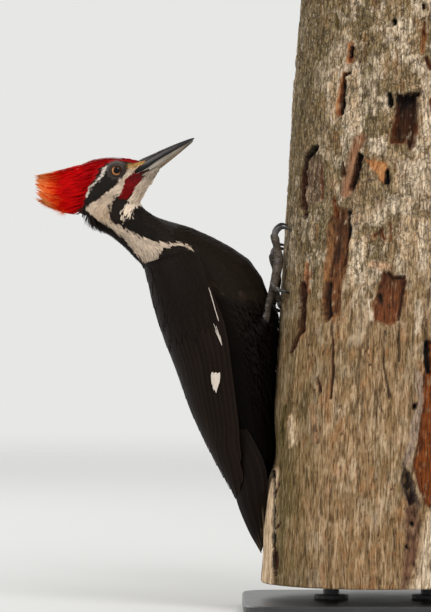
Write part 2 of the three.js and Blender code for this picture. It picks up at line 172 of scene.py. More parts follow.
floor_finish, place = finish("pale_floor", Roughness=0.9, Base_Color=(0.62, 0.62, 0.61, 1))
away = place.node("ShaderNodeVectorMath", {"operation": "LENGTH"}, {0: place}, out=1)
(1 - away.step(1.2, FLOOR_REACH - 0.5)).feed("Alpha")
turns = np.linspace(0, tau, FLOOR_SIDES + 1)[:-1]
reaches = (0.5, 1.5, 3.0, FLOOR_REACH)
rings = [[(0.0, 0.0, -FLOOR_DROP)]]
rings += [[(r * cos(t), r * sin(t), -FLOOR_DROP) for t in turns] for r in reaches]
ids = 1 + np.arange(len(reaches) * FLOOR_SIDES).reshape(len(reaches), FLOOR_SIDES)
turned = np.roll(ids, -1, axis=1)
hub = np.stack([0 * ids[0], ids[0], turned[0]], -1)
bands = np.stack([ids[:-1], ids[1:], turned[1:], turned[:-1]], -1).reshape(-1, 4)
floor = shape("floor", np.concatenate(rings), hub, bands, material=floor_finish)

MIDDLE = (-0.12, 0.0, 0.28)  # of the model, where the lamps point


def soft_light(name, place, size, power):
    """A round lamp: its place and width in metres, and its watts."""
    lamp = bpy.data.lights.new(name, "AREA")
    lamp.shape = "DISK"
    lamp.size = size
    lamp.energy = power
    hung = bpy.data.objects.new(name, lamp)
    hung.location = place
    hung.rotation_euler = (Vector(MIDDLE) - Vector(place)).to_track_quat("-Z", "Y").to_euler()
    bpy.context.scene.collection.objects.link(hung)


soft_light("key_light", (0.9, -2.2, 2.3), 1.3, 46)
soft_light("fill_light", (-2.4, -1.6, 1.2), 1.6, 22)
soft_light("back_light", (-1.2, 2.2, 1.9), 1.4, 22)

camera = bpy.data.cameras.new("camera")
camera.sensor_fit = "HORIZONTAL"
camera.sensor_width = 36
camera.lens = 349.6
camera.clip_end = 60
viewer = bpy.data.objects.new("camera", camera)
viewer.location = (-0.1556, -3.6, 0.2632)
viewer.rotation_euler = (radians(90), 0, 0)
bpy.context.scene.collection.objects.link(viewer)
bpy.context.scene.camera = viewer

# ---- Stand: a flat steel plate and two steel rods up into the perch ----
# Mild steel under satin black lacquer, with a faint orange-peel.
# The rods are screwed up into the end grain. These are the imported solids with their own finish.


def tint(code):
    """A colour such as "#87725a" as the shader's own numbers."""
    channels = [int(code[i : i + 2], 16) / 255 for i in (1, 3, 5)]
    return np.array(
        [c / 12.92 if c <= 0.04045 else ((c + 0.055) / 1.055) ** 2.4 for c in channels]
    )


def solid_colour(place, code):
    """One colour as a wire, for others to be mixed into."""
    wire = place.node("ShaderNodeRGB")
    wire.socket.default_value = (*tint(code), 1)
    return wire


steel, place = finish("satin_black_steel", Metallic=0.0, Coat_Weight=0.25, Coat_Roughness=0.3)
cloud = place.noise(60.0, 4.0)
peel = place.noise(900.0, 2.0)
solid_colour(place, "#1c1d1f").mixed("#2a2a2b", cloud.step(0.35, 0.7)).feed("Base Color")
(0.36 + 0.16 * cloud).feed("Roughness")
peel.emboss(0.25, 0.0003)
for name, node in nodes.items():
    if name.startswith("stand_"):
        node.data.materials.clear()
        node.data.materials.append(steel)

# ---- Perch: a cut length of dead trunk, leaning a little, worked over by a woodpecker ----
# Barkless grey heartwood with long fibres, pale lichen plates, bill holes down to rusty rot,
# and one strip of old bark left on the bird's side. Sawn square at both ends.
LEAN = 0.0594
AXIS_HEIGHT = 263
TRUNK_RADIUS = 100
TRUNK_TAPER = 0.0113
TRUNK_FOOT = 26
TRUNK_TOP = 532
ROWS = 308
NEAR_STEP = 1.0  # between columns on the side that shows its fibres best
FAR_STEP = 5.0
# Angles round the trunk: the bird's side is at pi and the camera's at one and a half pi.
NEAR_START = pi - 0.12
NEAR_END = 5.15
STRIP_TURN = pi + 0.40  # where the strip of old bark ends
# How far the marks are moved on the side away from the camera, round it and up it.
FAR_SHIFT = 12
FAR_RISE = 170

WEATHERED = "#8b6e4b"
CRUSTED = "#826d4a"
WOOD_SHADE = "#433320"
WOOD_PALE = "#c3a683"
LICHEN = "#dcc7ac"
OLIVE = "#57491f"
MOSS_GREY = "#6b5f3f"
RUST = "#6c3614"
AMBER = "#a2683a"
UMBER = "#41220f"
# Black for the shade deep in holes, slits and cracks, and along the bark strip's ledge: painted
# shade.
SHADE_BLACK = "#0f0805"


def noise(x, y, seed, wrap=None):
    """Smooth noise from 0 to 1 over a plane, one lump to each unit, closed after wrap units."""
    cell_x, cell_y = np.floor(x).astype(np.int64), np.floor(y).astype(np.int64)
    fx, fy = x - cell_x, y - cell_y
    fx, fy = fx * fx * (3 - 2 * fx), fy * fy * (3 - 2 * fy)

    def corner(a, b):
        a = a % wrap if wrap else a
        mixed = (a * 374761393 + b * 668265263 + seed * 2147483647) & 0xFFFFFFFF
        mixed = ((mixed ^ (mixed >> 13)) * 1274126177) & 0xFFFFFFFF
        return ((mixed ^ (mixed >> 16)) & 0xFFFF) / 65535

    low = corner(cell_x, cell_y) * (1 - fx) + corner(cell_x + 1, cell_y) * fx
    high = corner(cell_x, cell_y + 1) * (1 - fx) + corner(cell_x + 1, cell_y + 1) * fx
    return low * (1 - fy) + high * fy


def rough_noise(x, y, seed, wrap=None):
    """Noise with finer noise on it."""
    total, weight = 0, 0
    for layer in range(3):
        fine = 2**layer
        total = total + noise(x * fine, y * fine, seed + layer, wrap and wrap * fine) / fine
        weight += 1 / fine
    return total / weight


def rise(value, low, high):
    """0 below low, 1 above high, and smooth between."""
    share = np.clip((value - low) / (high - low), 0, 1)
    return share * share * (3 - 2 * share)


def hump(value, middle, width):
    """1 at a middle, and less to each side of it."""
    return np.exp(-(((value - middle) / width) ** 2))


def gap_to(x, z, outline, closed=True):
    """Distance from points to a line through some corners, below 0 inside a closed one."""
    nearest = np.full(x.shape, 1e9)
    inside = np.zeros(x.shape, bool)
    for (ax, az), (bx, bz) in zip(outline, outline[1:] + outline[:1] * closed):
        dx, dz = bx - ax, bz - az
        along = np.clip(((x - ax) * dx + (z - az) * dz) / (dx * dx + dz * dz + 1e-9), 0, 1)
        nearest = np.minimum(nearest, np.hypot(x - ax - along * dx, z - az - along * dz))
        if closed and dz:
            inside ^= ((z >= az) != (z >= bz)) & (x < ax + (z - az) * dx / dz)
    return np.where(inside, -nearest, nearest) if closed else nearest


def hooped(rows, around):
    """The faces of a closed tube of rows of points: its four-sided wall, then its two end fans,
    whose hubs are the two points that follow the rows."""
    ids = np.arange(rows * around).reshape(rows, around)
    turned = np.roll(ids, -1, axis=1)
    wall = np.stack([ids[:-1], turned[:-1], turned[1:], ids[1:]], -1).reshape(-1, 4)
    hub = np.full(around, rows * around)
    fans = [np.stack([turned[0], ids[0], hub], -1), np.stack([ids[-1], turned[-1], hub + 1], -1)]
    return wall, np.concatenate(fans)


def taken_to(colours, code, share):
    """Colours taken towards another, or a coded one, by a share for each."""
    target = tint(code) if isinstance(code, str) else code
    return colours + (target - colours) * share[..., None]


def paint_points(piece, name, colours):
    """A colour for each point of a mesh, under a name that a material can read."""
    layer = piece.data.color_attributes.new(name, "FLOAT_COLOR", "POINT")
    opaque = np.ones((len(colours), 4), np.float32)
    opaque[:, :3] = colours
    layer.data.foreach_set("color", opaque.ravel())


def mark_points(piece, name, vectors):
    """Three numbers for each point of a mesh, under a name that a material can read."""
    layer = piece.data.attributes.new(name, "FLOAT_VECTOR", "POINT")
    layer.data.foreach_set("vector", np.asarray(vectors, np.float32).ravel())


near_turns = np.arange(NEAR_START, NEAR_END, NEAR_STEP / TRUNK_RADIUS)
far_turns = np.arange(NEAR_END, NEAR_START + tau, FAR_STEP / TRUNK_RADIUS)
turns = np.concatenate([near_turns, far_turns])
columns = len(turns)
heights = np.linspace(TRUNK_FOOT, TRUNK_TOP, ROWS)
turn, height = np.meshgrid(turns, heights)
arc = turn % tau * TRUNK_RADIUS
facing = (turn - pi) ** 2
calm = 1 - 0.8 * np.exp(-facing / 0.25)
radius = TRUNK_RADIUS - TRUNK_TAPER * (height - AXIS_HEIGHT)
radius += calm * (
    1.2 * np.sin(3 * turn + 0.011 * height) + 0.6 * np.sin(5 * turn - 0.017 * height)
)
# A hollow worn in the bird's side, at the root of its tail.
radius -= 5.2 * np.exp(-facing / 0.09 - ((height - 139) / 22) ** 2)
# The strip stands proud of the wood, with a ledge along its edge, and thins towards its foot.
on_strip = rise(STRIP_TURN + 0.02 - turn, 0, 0.045) * rise(turn - (pi - 0.35), -0.1, 0.3)
strip_rise = 2.2 * rise(128 - height, 0, 26) * (1 - 0.55 * rise(70 - height, 0, 30))
on_strip = np.where(turn < 5, on_strip, 0)
radius += strip_rise * on_strip
# The foot draws in under the bird's tail.
radius -= 2.1 * np.exp(-facing / 0.25) * rise(105 - height, 0, 75)
axis = LEAN * (height - AXIS_HEIGHT)
# The view from the right side, and the same marks in another order on the far side.
near_side = np.sin(turn) < 0
across = radius * np.cos(turn)
side_x = np.where(near_side, across + axis, FAR_SHIFT - across + axis)
shifted = (height - TRUNK_FOOT + FAR_RISE) % (TRUNK_TOP - TRUNK_FOOT) + TRUNK_FOOT
side_z = np.where(near_side, height, shifted)
WRAP = {width: int(round(tau * TRUNK_RADIUS / width)) for width in (1.3, 2.6, 6, 12, 24)}


def grain(width, length, seed):
    """Noise drawn out along the trunk: how wide and how long a lump is."""
    cells = WRAP[width]
    return rough_noise(arc / (tau * TRUNK_RADIUS) * cells, height / length, seed, cells)


fibre = grain(1.3, 11, 11)
strand = grain(2.6, 30, 21)
board = grain(6, 60, 31)
patch = grain(12, 16, 41)
blotch = grain(6, 8, 45)
fleck = grain(2.6, 4.5, 47)
region = grain(24, 60, 51)
wander = (grain(2.6, 6, 3) - 0.5) * 4.5 + (blotch - 0.5) * 4.5
upper = rise(height + 60 * (region - 0.5), 210, 330)
crackle = np.abs(grain(6, 50, 61) - 0.5)
cracks = (1 - rise(crackle, 0.0, 0.022)) * rise(board, 0.42, 0.6)
plates = rise(patch + 0.5 * (blotch - 0.5), 0.50, 0.58) * rise(region, 0.25, 0.5)
plates *= 0.25 + 0.75 * upper
seams = (1 - rise(np.abs(grain(6, 9, 65) - 0.5), 0.0, 0.035)) * upper

relief = 0.9 * (strand - 0.5) + 0.55 * (fibre - 0.5) + 1.3 * (board - 0.5)
relief += 0.7 * plates * (0.6 + 0.8 * fleck) - 1.3 * cracks - 0.7 * seams
relief += 0.9 * upper * (blotch - 0.5)

wood = np.ones(height.shape + (3,)) * tint(WEATHERED)


def stain(share, code):
    """Takes the wood towards a colour by a share of each point's own."""
    wood[:] = taken_to(wood, code, share)


stain(0.85 * upper, CRUSTED)
stain(0.65 * rise(region + 0.4 * (patch - 0.5), 0.45, 0.7) * (0.5 + 0.5 * upper), MOSS_GREY)
stain(0.60 * rise(strand + 0.4 * (fibre - 0.5), 0.52, 0.72) * (1 - 0.5 * upper), WOOD_SHADE)
stain(0.60 * rise(grain(2.6, 16, 71), 0.55, 0.72) * (1 - 0.4 * upper), WOOD_PALE)
stain(0.40 * rise(grain(1.3, 7, 81), 0.6, 0.8), WOOD_SHADE)
stain(0.34 * rise(grain(6, 14, 91), 0.60, 0.78), AMBER)
stain(0.55 * rise(fleck, 0.60, 0.78) * upper, WOOD_SHADE)
stain(0.45 * rise(blotch + 0.3 * (fleck - 0.5), 0.6, 0.72) * upper, WOOD_PALE)
stain(0.80 * plates * (0.35 + 0.65 * rise(fleck, 0.35, 0.6)), LICHEN)
left_edge = rise(-side_x + axis, 48, 96)
mottled = 0.45 + 0.55 * rise(0.5 * strand + 0.5 * blotch, 0.35, 0.6)
stain((0.54 + 0.24 * rise(height, 330, 430)) * left_edge * mottled, OLIVE)
stain(0.90 * rise(-side_x + axis, 58, 96) * rise(190 - height, 0, 60) * mottled, OLIVE)
olive_band = rise(13 - np.abs(side_x + 29 - 0.03 * (side_z - 470)), 0, 12)
olive_band *= rise(60 - np.abs(side_z - 468), 0, 40)
stain(0.55 * olive_band * mottled, OLIVE)
# The strip's old bark is paler than the wood, and is painted paler still as painted light, since its
# side is turned from the key lamp.
lit_bark_strip = on_strip * rise(128 - height, 0, 6)
stain(0.85 * lit_bark_strip * (0.6 + 0.4 * rise(strand, 0.35, 0.6)), "#f0d0ac")
stain(0.75 * cracks, UMBER)
stain(0.65 * seams, "#3a2d1e")

# Marks: the outline in side view, half width (0 for a closed outline), depth, edge, two colours
# from the deepest part to the rim, and how dark the upper end is painted, as the shadow of an
# overhanging top. The black at the deepest part of holes and slits is painted shade.
MARK_REACH = 12  # how far round its outline a mark can show
MARKS = [
    # a long slit by the left edge with the plank beside it
    (
        [(-75, 391), (-66, 389), (-65.5, 352), (-79, 348), (-78, 371)],
        0, 0.8, 1.0, "#6e543e", "#8a6f56", 0.3,
    ),
    (
        [(-71.7, 397), (-77.7, 390.4), (-81.2, 371.5), (-82, 354.3), (-79.5, 339.7)],
        2.6, 7, 1.6, SHADE_BLACK, UMBER, 0.9,
    ),
    ([(-66, 386), (-66, 354)], 0.8, 1.5, 0.8, UMBER, RUST, 0.2),
    # a narrow slit with a notch at its top
    (
        [(-60, 462), (-50, 466), (-50, 422), (-58, 414), (-62, 440)],
        0, -0.5, 2, WOOD_PALE, LICHEN, 0,
    ),
    ([(-46, 464), (-33, 464), (-32, 408), (-44, 406)], 0, -0.5, 2, WOOD_PALE, LICHEN, 0),
    ([(-46.5, 459), (-50.2, 446), (-51.2, 425)], 2.3, 1.0, 1.4, RUST, AMBER, 0),
    (
        [(-43.3, 459.2), (-46.6, 457.5), (-48.0, 444.6), (-49.0, 424.8)],
        1.7, 7, 1.0, SHADE_BLACK, SHADE_BLACK, 0.5,
    ),
    ([(-41.8, 483), (-42.4, 470)], 3.2, 1.2, 1.6, RUST, AMBER, 0),
    ([(-41.6, 480), (-41.9, 474)], 2.1, 6, 1.0, SHADE_BLACK, SHADE_BLACK, 1),
    ([(-53.7, 511), (-52.8, 498.8)], 1.5, 1.5, 1.4, UMBER, OLIVE, 0.3),
    # a slanting slit and the rusty band on its right
    ([(-34, 404), (-38.5, 395), (-41.5, 378), (-46, 358)], 5.0, 1.2, 2.0, "#94684a", "#8a6b52", 0),
    ([(-34.7, 388.7), (-37.5, 376), (-41.6, 362.9)], 3.0, 6.5, 1.6, SHADE_BLACK, UMBER, 0.6),
    ([(-48, 384), (-48.5, 374)], 1.4, 2, 1.2, UMBER, UMBER, 0.3),
    # a torn triangle round a hole
    (
        [(-31.3, 387), (-12.4, 384.4), (-10.5, 372), (-15, 365), (-22.7, 375)],
        0, 1.4, 1.2, "#b57c4c", AMBER, 0,
    ),
    ([(-12.4, 375), (-12.6, 366)], 2.2, 6, 1.2, SHADE_BLACK, SHADE_BLACK, 1),
    # the small hole beside the lichen
    ([(-9, 494), (-2, 506), (7, 504), (13, 496), (3, 486)], 0, -0.7, 3, LICHEN, LICHEN, 0),
    ([(0, 483), (5, 471)], 4.5, -0.6, 3, LICHEN, LICHEN, 0),
    ([(-5.5, 502), (-5.7, 499)], 1.8, 6, 1.0, SHADE_BLACK, SHADE_BLACK, 1),
    ([(18.6, 516), (18.6, 512)], 1.3, 5, 0.9, SHADE_BLACK, UMBER, 0.5),
    ([(19.4, 490), (17.7, 476)], 2.0, 2.0, 1.6, UMBER, AMBER, 0.2),
    ([(22, 466), (31, 463)], 2.0, 2.4, 1.6, UMBER, AMBER, 0.2),
    # the big square excavation and the hole at its shoulder
    (
        [(-3.8, 441.2), (16, 442), (14.3, 423), (15.1, 414.5), (11.7, 397.3), (7.4, 392),
         (4.8, 399.9), (-9.8, 399), (-8.1, 410), (-4.6, 424.8)],
        0, 11, 2.2, "#3d1e0a", "#642c09", 0.92,
    ),
    ([(-10.5, 441), (-9, 432)], 2.2, 6.5, 1.3, SHADE_BLACK, SHADE_BLACK, 1),
    # the long furrow, rusty inside, with a black core of painted shade on each side
    (
        [(-54.5, 350), (-44.2, 343), (-41.6, 320), (-45, 301), (-49, 277), (-50, 255),
         (-64, 250), (-66, 268), (-64.5, 290), (-62, 311), (-61, 333)],
        0, 4.2, 3.2, "#643b1e", "#875c37", 0.4,
    ),
    ([(-43.6, 342), (-44.0, 328), (-46.0, 312)], 1.8, 4.4, 1.2, SHADE_BLACK, SHADE_BLACK, 0),
    ([(-46.4, 309), (-49.6, 297)], 1.5, 3.0, 1.2, SHADE_BLACK, UMBER, 0),
    ([(-62.4, 281), (-63, 268.3), (-61.5, 252.8)], 2.3, 4.4, 1.6, SHADE_BLACK, UMBER, 0),
    ([(-57.4, 308), (-59.5, 296), (-61, 288)], 1.3, 3.4, 1.4, SHADE_BLACK, UMBER, 0),
    ([(-52, 336), (-53.6, 318), (-55.4, 300)], 1.2, 2.0, 1.2, SHADE_BLACK, UMBER, 0),
    ([(-56, 352), (-54.5, 338)], 1.8, 2.4, 1.5, SHADE_BLACK, RUST, 0),
    # the slit below it on the bird's side
    ([(-78, 298), (-78.5, 276)], 2.8, 0.8, 2, RUST, AMBER, 0),
    ([(-81.5, 281), (-81.9, 262), (-82.8, 243)], 2.6, 6.5, 1.6, SHADE_BLACK, UMBER, 0),
    ([(-83, 243), (-86.6, 235.6), (-91.5, 223.6)], 1.7, 4.5, 1.3, SHADE_BLACK, UMBER, 0),
    # the red-brown panel where a plate has come away
    (
        [(-15.8, 292.4), (3.1, 287.2), (4, 282.9), (-2.1, 251.1), (-7.2, 246),
         (-24.4, 251.1), (-26.1, 264), (-21, 272.6)],
        0, 2.6, 1.4, "#69391c", "#80502d", 0.5,
    ),
    ([(-11.5, 290.7), (-6, 286), (2, 287)], 1.6, 2.6, 1.2, SHADE_BLACK, UMBER, 0),
    ([(3, 284), (-2.5, 252)], 1.3, 2.4, 1.2, SHADE_BLACK, UMBER, 0),
    ([(-19, 272), (-17.6, 267)], 2.4, 3, 1.4, SHADE_BLACK, UMBER, 0),
    ([(-25, 298), (-13, 296)], 3.0, 0.3, 2.4, "#c09a78", "#c09a78", 0),
    # pale plates about the middle
    ([(-44, 318), (-28, 324), (-27, 280), (-42, 276)], 0, -0.5, 3, LICHEN, WOOD_PALE, 0),
    ([(-10, 354), (-2, 356), (-3, 338), (-12, 342)], 0, -0.6, 2, LICHEN, LICHEN, 0),
    ([(16, 354), (24, 352), (23, 343), (16, 344)], 0, -0.8, 1.6, LICHEN, LICHEN, 0),
    ([(10.8, 268), (17.5, 268), (16.9, 243), (11, 236)], 0, -0.9, 1.4, LICHEN, LICHEN, 0),
    ([(-28, 268), (-25, 252)], 1.8, -0.5, 1.4, LICHEN, LICHEN, 0),
    # thin cracks lower down
    ([(-58, 246), (-57.1, 229), (-57.1, 208), (-59, 186)], 0.9, 2.0, 0.9, SHADE_BLACK, UMBER, 0),
    ([(-14.1, 242.5), (-15, 212.4), (-9.8, 186.6)], 0.7, 1.2, 0.7, UMBER, WOOD_SHADE, 0),
    ([(-2.1, 242), (-2.4, 217)], 0.7, 1.4, 0.7, SHADE_BLACK, WOOD_SHADE, 0),
    ([(-69.6, 203), (-67.4, 191)], 1.5, 2.0, 1.4, SHADE_BLACK, UMBER, 0),
    ([(-96.7, 178), (-99.2, 160.8), (-98.4, 145)], 1.5, 1.6, 1.3, SHADE_BLACK, OLIVE, 0),
    ([(-95, 170), (-88, 172), (-86, 146), (-93, 143)], 0, -0.4, 3, LICHEN, WOOD_PALE, 0),
    ([(-74, 178), (-71, 150)], 2.6, 0.3, 4, "#9a6d47", "#8a6a4a", 0),
    # pale crust low on the upper half, by the excavation and over the right of the middle
    (
        [(-6, 392), (8, 386), (26, 396), (27, 356), (8, 348), (-4, 360)],
        0, -0.6, 3, LICHEN, WOOD_PALE, 0,
    ),
    ([(-27, 403), (-12, 404), (-13, 389), (-27, 391)], 0, -0.5, 3, LICHEN, LICHEN, 0),
    ([(14, 438), (28, 440), (27, 402), (15, 400)], 0, -0.5, 3, LICHEN, WOOD_PALE, 0),
    ([(12, 338), (26, 336), (24, 286), (10, 292)], 0, -0.5, 3, LICHEN, WOOD_PALE, 0),
    ([(-2, 338), (10, 340), (8, 300), (0, 302)], 0, -0.4, 3, WOOD_PALE, WOOD_PALE, 0),
    # more small rusty wounds towards the right edge
    ([(20.5, 470), (24, 462), (29, 459)], 1.8, 3.0, 1.4, SHADE_BLACK, RUST, 0.2),
    ([(19.6, 500), (19, 492)], 1.5, 3.0, 1.2, SHADE_BLACK, RUST, 0.3),
    ([(24.5, 436), (26.5, 424)], 1.6, 2.0, 1.4, UMBER, RUST, 0.2),
    ([(-9.5, 332), (-8.6, 318)], 1.1, 1.4, 1.2, UMBER, RUST, 0.2),
    ([(-22, 322), (-17, 327), (-14, 318)], 1.0, 1.0, 1.2, UMBER, RUST, 0.2),
    # the rotten heart showing on the right, the eaten ledge beside it and the slot below
    (
        [
            (19.4, 232), (33, 238), (44, 256), (52, 249), (57, 226), (50, 204), (58, 178),
            (63, 146), (55, 120), (50, 96), (41, 80), (34, 91), (20.3, 96.3), (13.4, 111.8),
            (9, 129), (13.4, 148), (15.5, 165.1), (14.5, 182.3), (18, 203.8),
        ],
        0, 3.4, 3.0, "#76390c", "#5a2905", 0.3,
    ),
    (
        [(14, 206), (15.8, 182), (12, 165), (9, 148), (4, 131)],
        3.4, 0.8, 2.4, "#8b7464", "#9a8470", 0,
    ),
    ([(21, 232), (23.7, 208)], 2.6, 6, 1.6, SHADE_BLACK, SHADE_BLACK, 0.4),
    ([(28, 222), (29, 209)], 2.6, -1.2, 1.6, "#e0a258", AMBER, 0),
    ([(11.7, 180), (11.5, 177.5)], 1.7, 5, 1.0, SHADE_BLACK, UMBER, 1),
    (
        [(1.5, 132), (6.5, 124), (10, 118), (13.4, 105), (16, 96.3), (13.4, 83.4),
         (5, 98), (1.5, 106), (-0.3, 118)],
        0, 7, 2.2, "#2b1c14", "#6b5850", 0.6,
    ),
    ([(8.5, 100), (7.2, 91)], 2.6, 3.5, 1.5, SHADE_BLACK, UMBER, 0.5),
    (
        [(2, 95), (14.3, 98), (16.9, 79), (12.6, 44.7), (3, 26), (-1, 26), (3, 62)],
        0, 1.6, 1.6, "#6a4a36", "#8a6a50", 0,
    ),
    ([(8.6, 82), (9.5, 80)], 1.7, 4.5, 1.1, SHADE_BLACK, SHADE_BLACK, 0),
    ([(4.2, 62.5), (5, 60.5)], 1.6, 4.5, 1.1, SHADE_BLACK, SHADE_BLACK, 0),
    (
        [(19, 90), (32, 97), (43, 78), (52, 64), (46, 44), (54, 28), (38, 18), (4, 20), (12, 48)],
        0, -0.6, 3, LICHEN, WOOD_PALE, 0,
    ),
    # the painted shadow along the ledge at the edge of the bark strip, and two small cracks by it
    ([(-106.2, 121), (-105.4, 107), (-106, 79), (-106.6, 40)], 1.3, 2.6, 1.0, SHADE_BLACK, SHADE_BLACK, 0),
    ([(-106, 57), (-104.2, 48), (-105, 36)], 2.2, 3.2, 1.4, SHADE_BLACK, UMBER, 0),
    ([(-100.6, 79), (-104.6, 74)], 0.9, 1.6, 0.9, SHADE_BLACK, UMBER, 0),
    ([(-101.5, 112), (-104.6, 104)], 0.9, 1.6, 0.9, SHADE_BLACK, UMBER, 0),
]
crust_share = upper.copy()
open_share = np.ones_like(upper)
for outline, half, depth, edge, deep, rim, top_shadow in MARKS:
    x_low, z_low = np.min(outline, axis=0) - MARK_REACH
    x_high, z_high = np.max(outline, axis=0) + MARK_REACH
    where = (side_x > x_low) & (side_x < x_high) & (side_z > z_low) & (side_z < z_high)
    x, z = side_x[where], side_z[where]
    gap = gap_to(x, z, outline, closed=half == 0) - half
    gap = gap + wander[where] * (0.62 if half == 0 else 0.24 + 0.11 * half)
    into = rise(-gap, -0.3, edge)
    floor_depth = depth * into * (0.8 + 0.4 * strand[where])
    relief[where] = relief[where] * (1 - 0.4 * into) - floor_depth
    centre = rise(-gap + 1.6 * (blotch[where] - 0.5), 0.4 * edge, 1.6 * edge)
    # The upper end of a mark is painted darker by its share, as the shadow of an overhanging top.
    near_top = rise(z, z_low + 0.45 * (z_high - z_low), z_high - MARK_REACH)
    core = tint(deep) * (0.45 + 1.1 * fibre[where])[:, None]
    margin = tint(rim) * (0.6 + 0.8 * strand[where])[:, None]
    inner = taken_to(margin, core, centre)
    inner *= (1 - top_shadow * near_top)[:, None]
    if deep != SHADE_BLACK:
        # Flecks of the old surface and of soot, so that no mark is one flat colour.
        light = 0.5 * rise(fleck[where] + 0.3 * (fibre[where] - 0.5), 0.60, 0.78)
        inner = taken_to(inner, wood[where], light)
        sooty = rise(0.44 - blotch[where] * 0.6 - fleck[where] * 0.4, 0.0, 0.14)
        inner *= (1 - 0.6 * sooty)[:, None]
    share = rise(-gap, -0.6, 0.5)
    if depth > 0.9:
        crust_share[where] *= 1 - share
        open_share[where] *= 1 - share
    if depth < 0:
        broken = 0.42 + 0.55 * rise(0.5 * fibre[where] + 0.5 * fleck[where], 0.36, 0.56)
        share = share * (broken * (1 - 0.7 * seams[where]))
    wood[where] = taken_to(wood[where], inner, share)

reach = radius + relief
side_points = np.stack(
    [axis + reach * np.cos(turn), reach * np.sin(turn), np.broadcast_to(height, turn.shape)], -1
)
index = np.arange(ROWS * columns).reshape(ROWS, columns)
side_faces = hooped(ROWS, columns)[0]

# The sawn ends: year rings round the pith, with drying cracks that run out from it.
END_RINGS = 12
points, colours, faces = [side_points.reshape(-1, 3)], [wood.reshape(-1, 3)], [side_faces]
hubs = []
for end, row in ((1, ROWS - 1), (-1, 0)):
    rim_ids = index[row]
    previous = rim_ids
    middle = np.array([axis[row, 0], 0, heights[row]])
    for ring in range(1, END_RINGS):
        share = 1 - ring / END_RINGS
        flat = middle + (side_points[row] - middle) * [share, share, 1]
        year = np.sin(share * TRUNK_RADIUS * 1.35 + 3 * noise(turns * 2, turns * 0 + share * 6, 7))
        split = 1 - rise(np.abs(noise(turns * 5.5, turns * 0 + 0.3, 9) - 0.5), 0, 0.03)
        flat[:, 2] += end * (0.25 * year - 1.6 * split * rise(share, 0.15, 0.5))
        ids = sum(len(p) for p in points) + np.arange(columns)
        dark = (0.5 + 0.5 * year)[:, None] * 0.45
        face = tint("#a58d6e") * (1 - dark) + tint("#6a5137") * dark
        face = face * (1 - 0.8 * split[:, None])
        points.append(flat)
        colours.append(face)
        ring_faces = np.stack([previous, np.roll(previous, -1), np.roll(ids, -1), ids], -1)
        faces.append(ring_faces if end > 0 else ring_faces[:, ::-1])
        previous = ids
    hub_id = sum(len(p) for p in points)
    points.append(middle[None])
    colours.append(tint("#5a432e")[None])
    fan = np.stack([previous, np.roll(previous, -1), np.full(columns, hub_id)], -1)
    hubs.append(fan if end > 0 else fan[:, ::-1])

dead_wood, place = finish("dead_wood", Roughness=0.92, Specular_IOR_Level=0.25)
surface = place.painted("Surface", out=1)
crust, weathered = surface.part(0), surface.part(1)
threads = place.stretched(1, 1, 0.12).noise(760.0, 5.0, 0.65)
specks = place.stretched(1, 1, 0.6).noise(560.0, 4.0, 0.7)
sockets = {"Vector": place, "Scale": 240.0, "Detail": 3.0}
drift = place.node("ShaderNodeTexNoise", {}, sockets, out=1)
sockets = {0: place.stretched(1, 1, 0.62), 1: drift.stretched(0.006, 0.006, 0.006)}
warped = place.node("ShaderNodeVectorMath", {"operation": "ADD"}, sockets)
sockets = {"Vector": warped, "Scale": 165.0}
crazing = warped.node("ShaderNodeTexVoronoi", {"feature": "DISTANCE_TO_EDGE"}, sockets)
crazed = (1 - crazing.step(0.0, 0.09)) * specks.step(0.38, 0.55) * crust
streaks = threads.step(0.46, 0.64)
streaked = place.painted("Wood").mixed((0.36, 0.31, 0.24, 1), streaks, "MULTIPLY")
sunlit = (1 - threads).step(0.52, 0.70) * (0.05 + 0.31 * weathered)
bleached = streaked.mixed("#cfb795", sunlit)
flakes = specks.step(0.54, 0.70) * (0.04 * weathered + 0.46 * crust)
speckled = bleached.mixed("#d8ccbc", flakes)
grime = (1 - specks).step(0.53, 0.67) * (0.33 + 0.40 * crust)
grimy = speckled.mixed("#2c2012", grime)
grimy.mixed("#2c2216", crazed * 0.8).feed("Base Color")
tooth = (1 - threads) * 0.7 + specks * 0.6 - crazed * 0.5
tooth.emboss(0.8, 0.0012)

points = np.concatenate(points)
surface_at = np.zeros((len(points), 3))
surface_at[: crust_share.size, 0] = crust_share.ravel()
surface_at[: crust_share.size, 1] = open_share.ravel()
faces = [np.concatenate(faces), np.concatenate(hubs)]
perch = shape("trunk_perch", points * MM, *faces, material=dead_wood)
paint_points(perch, "Wood", np.concatenate(colours))
mark_points(perch, "Surface", surface_at)
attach(perch, "root")
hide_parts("perch")

# ---- Skin: one body under the plumage, with the bare scaly legs and the rims of the eyes ----
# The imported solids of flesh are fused, smoothed and drawn in by the depth of the feathers on them.
# The shanks and toes are bare: overlapping plates in front, fine beads on the soles.
FLESH = [
    "head", "crest", "neck", "trunk", "thigh_right", "thigh_left", "wing_right", "wing_left",
    "eye_right", "eye_left",
]
FLESH_VOXEL = 1.25
LEG_VOXEL = 0.56
LEG_DROP = 17  # how much lower the left foot is
EYE = np.array([-240.3, 379.3])
EYE_OUT = 11.6
EYE_RADIUS = 6.1
SIDES = {"right": -1, "left": 1}
LIMB_RINGS = 40
LIMB_SIDES = 20
LID_SIDES = 96
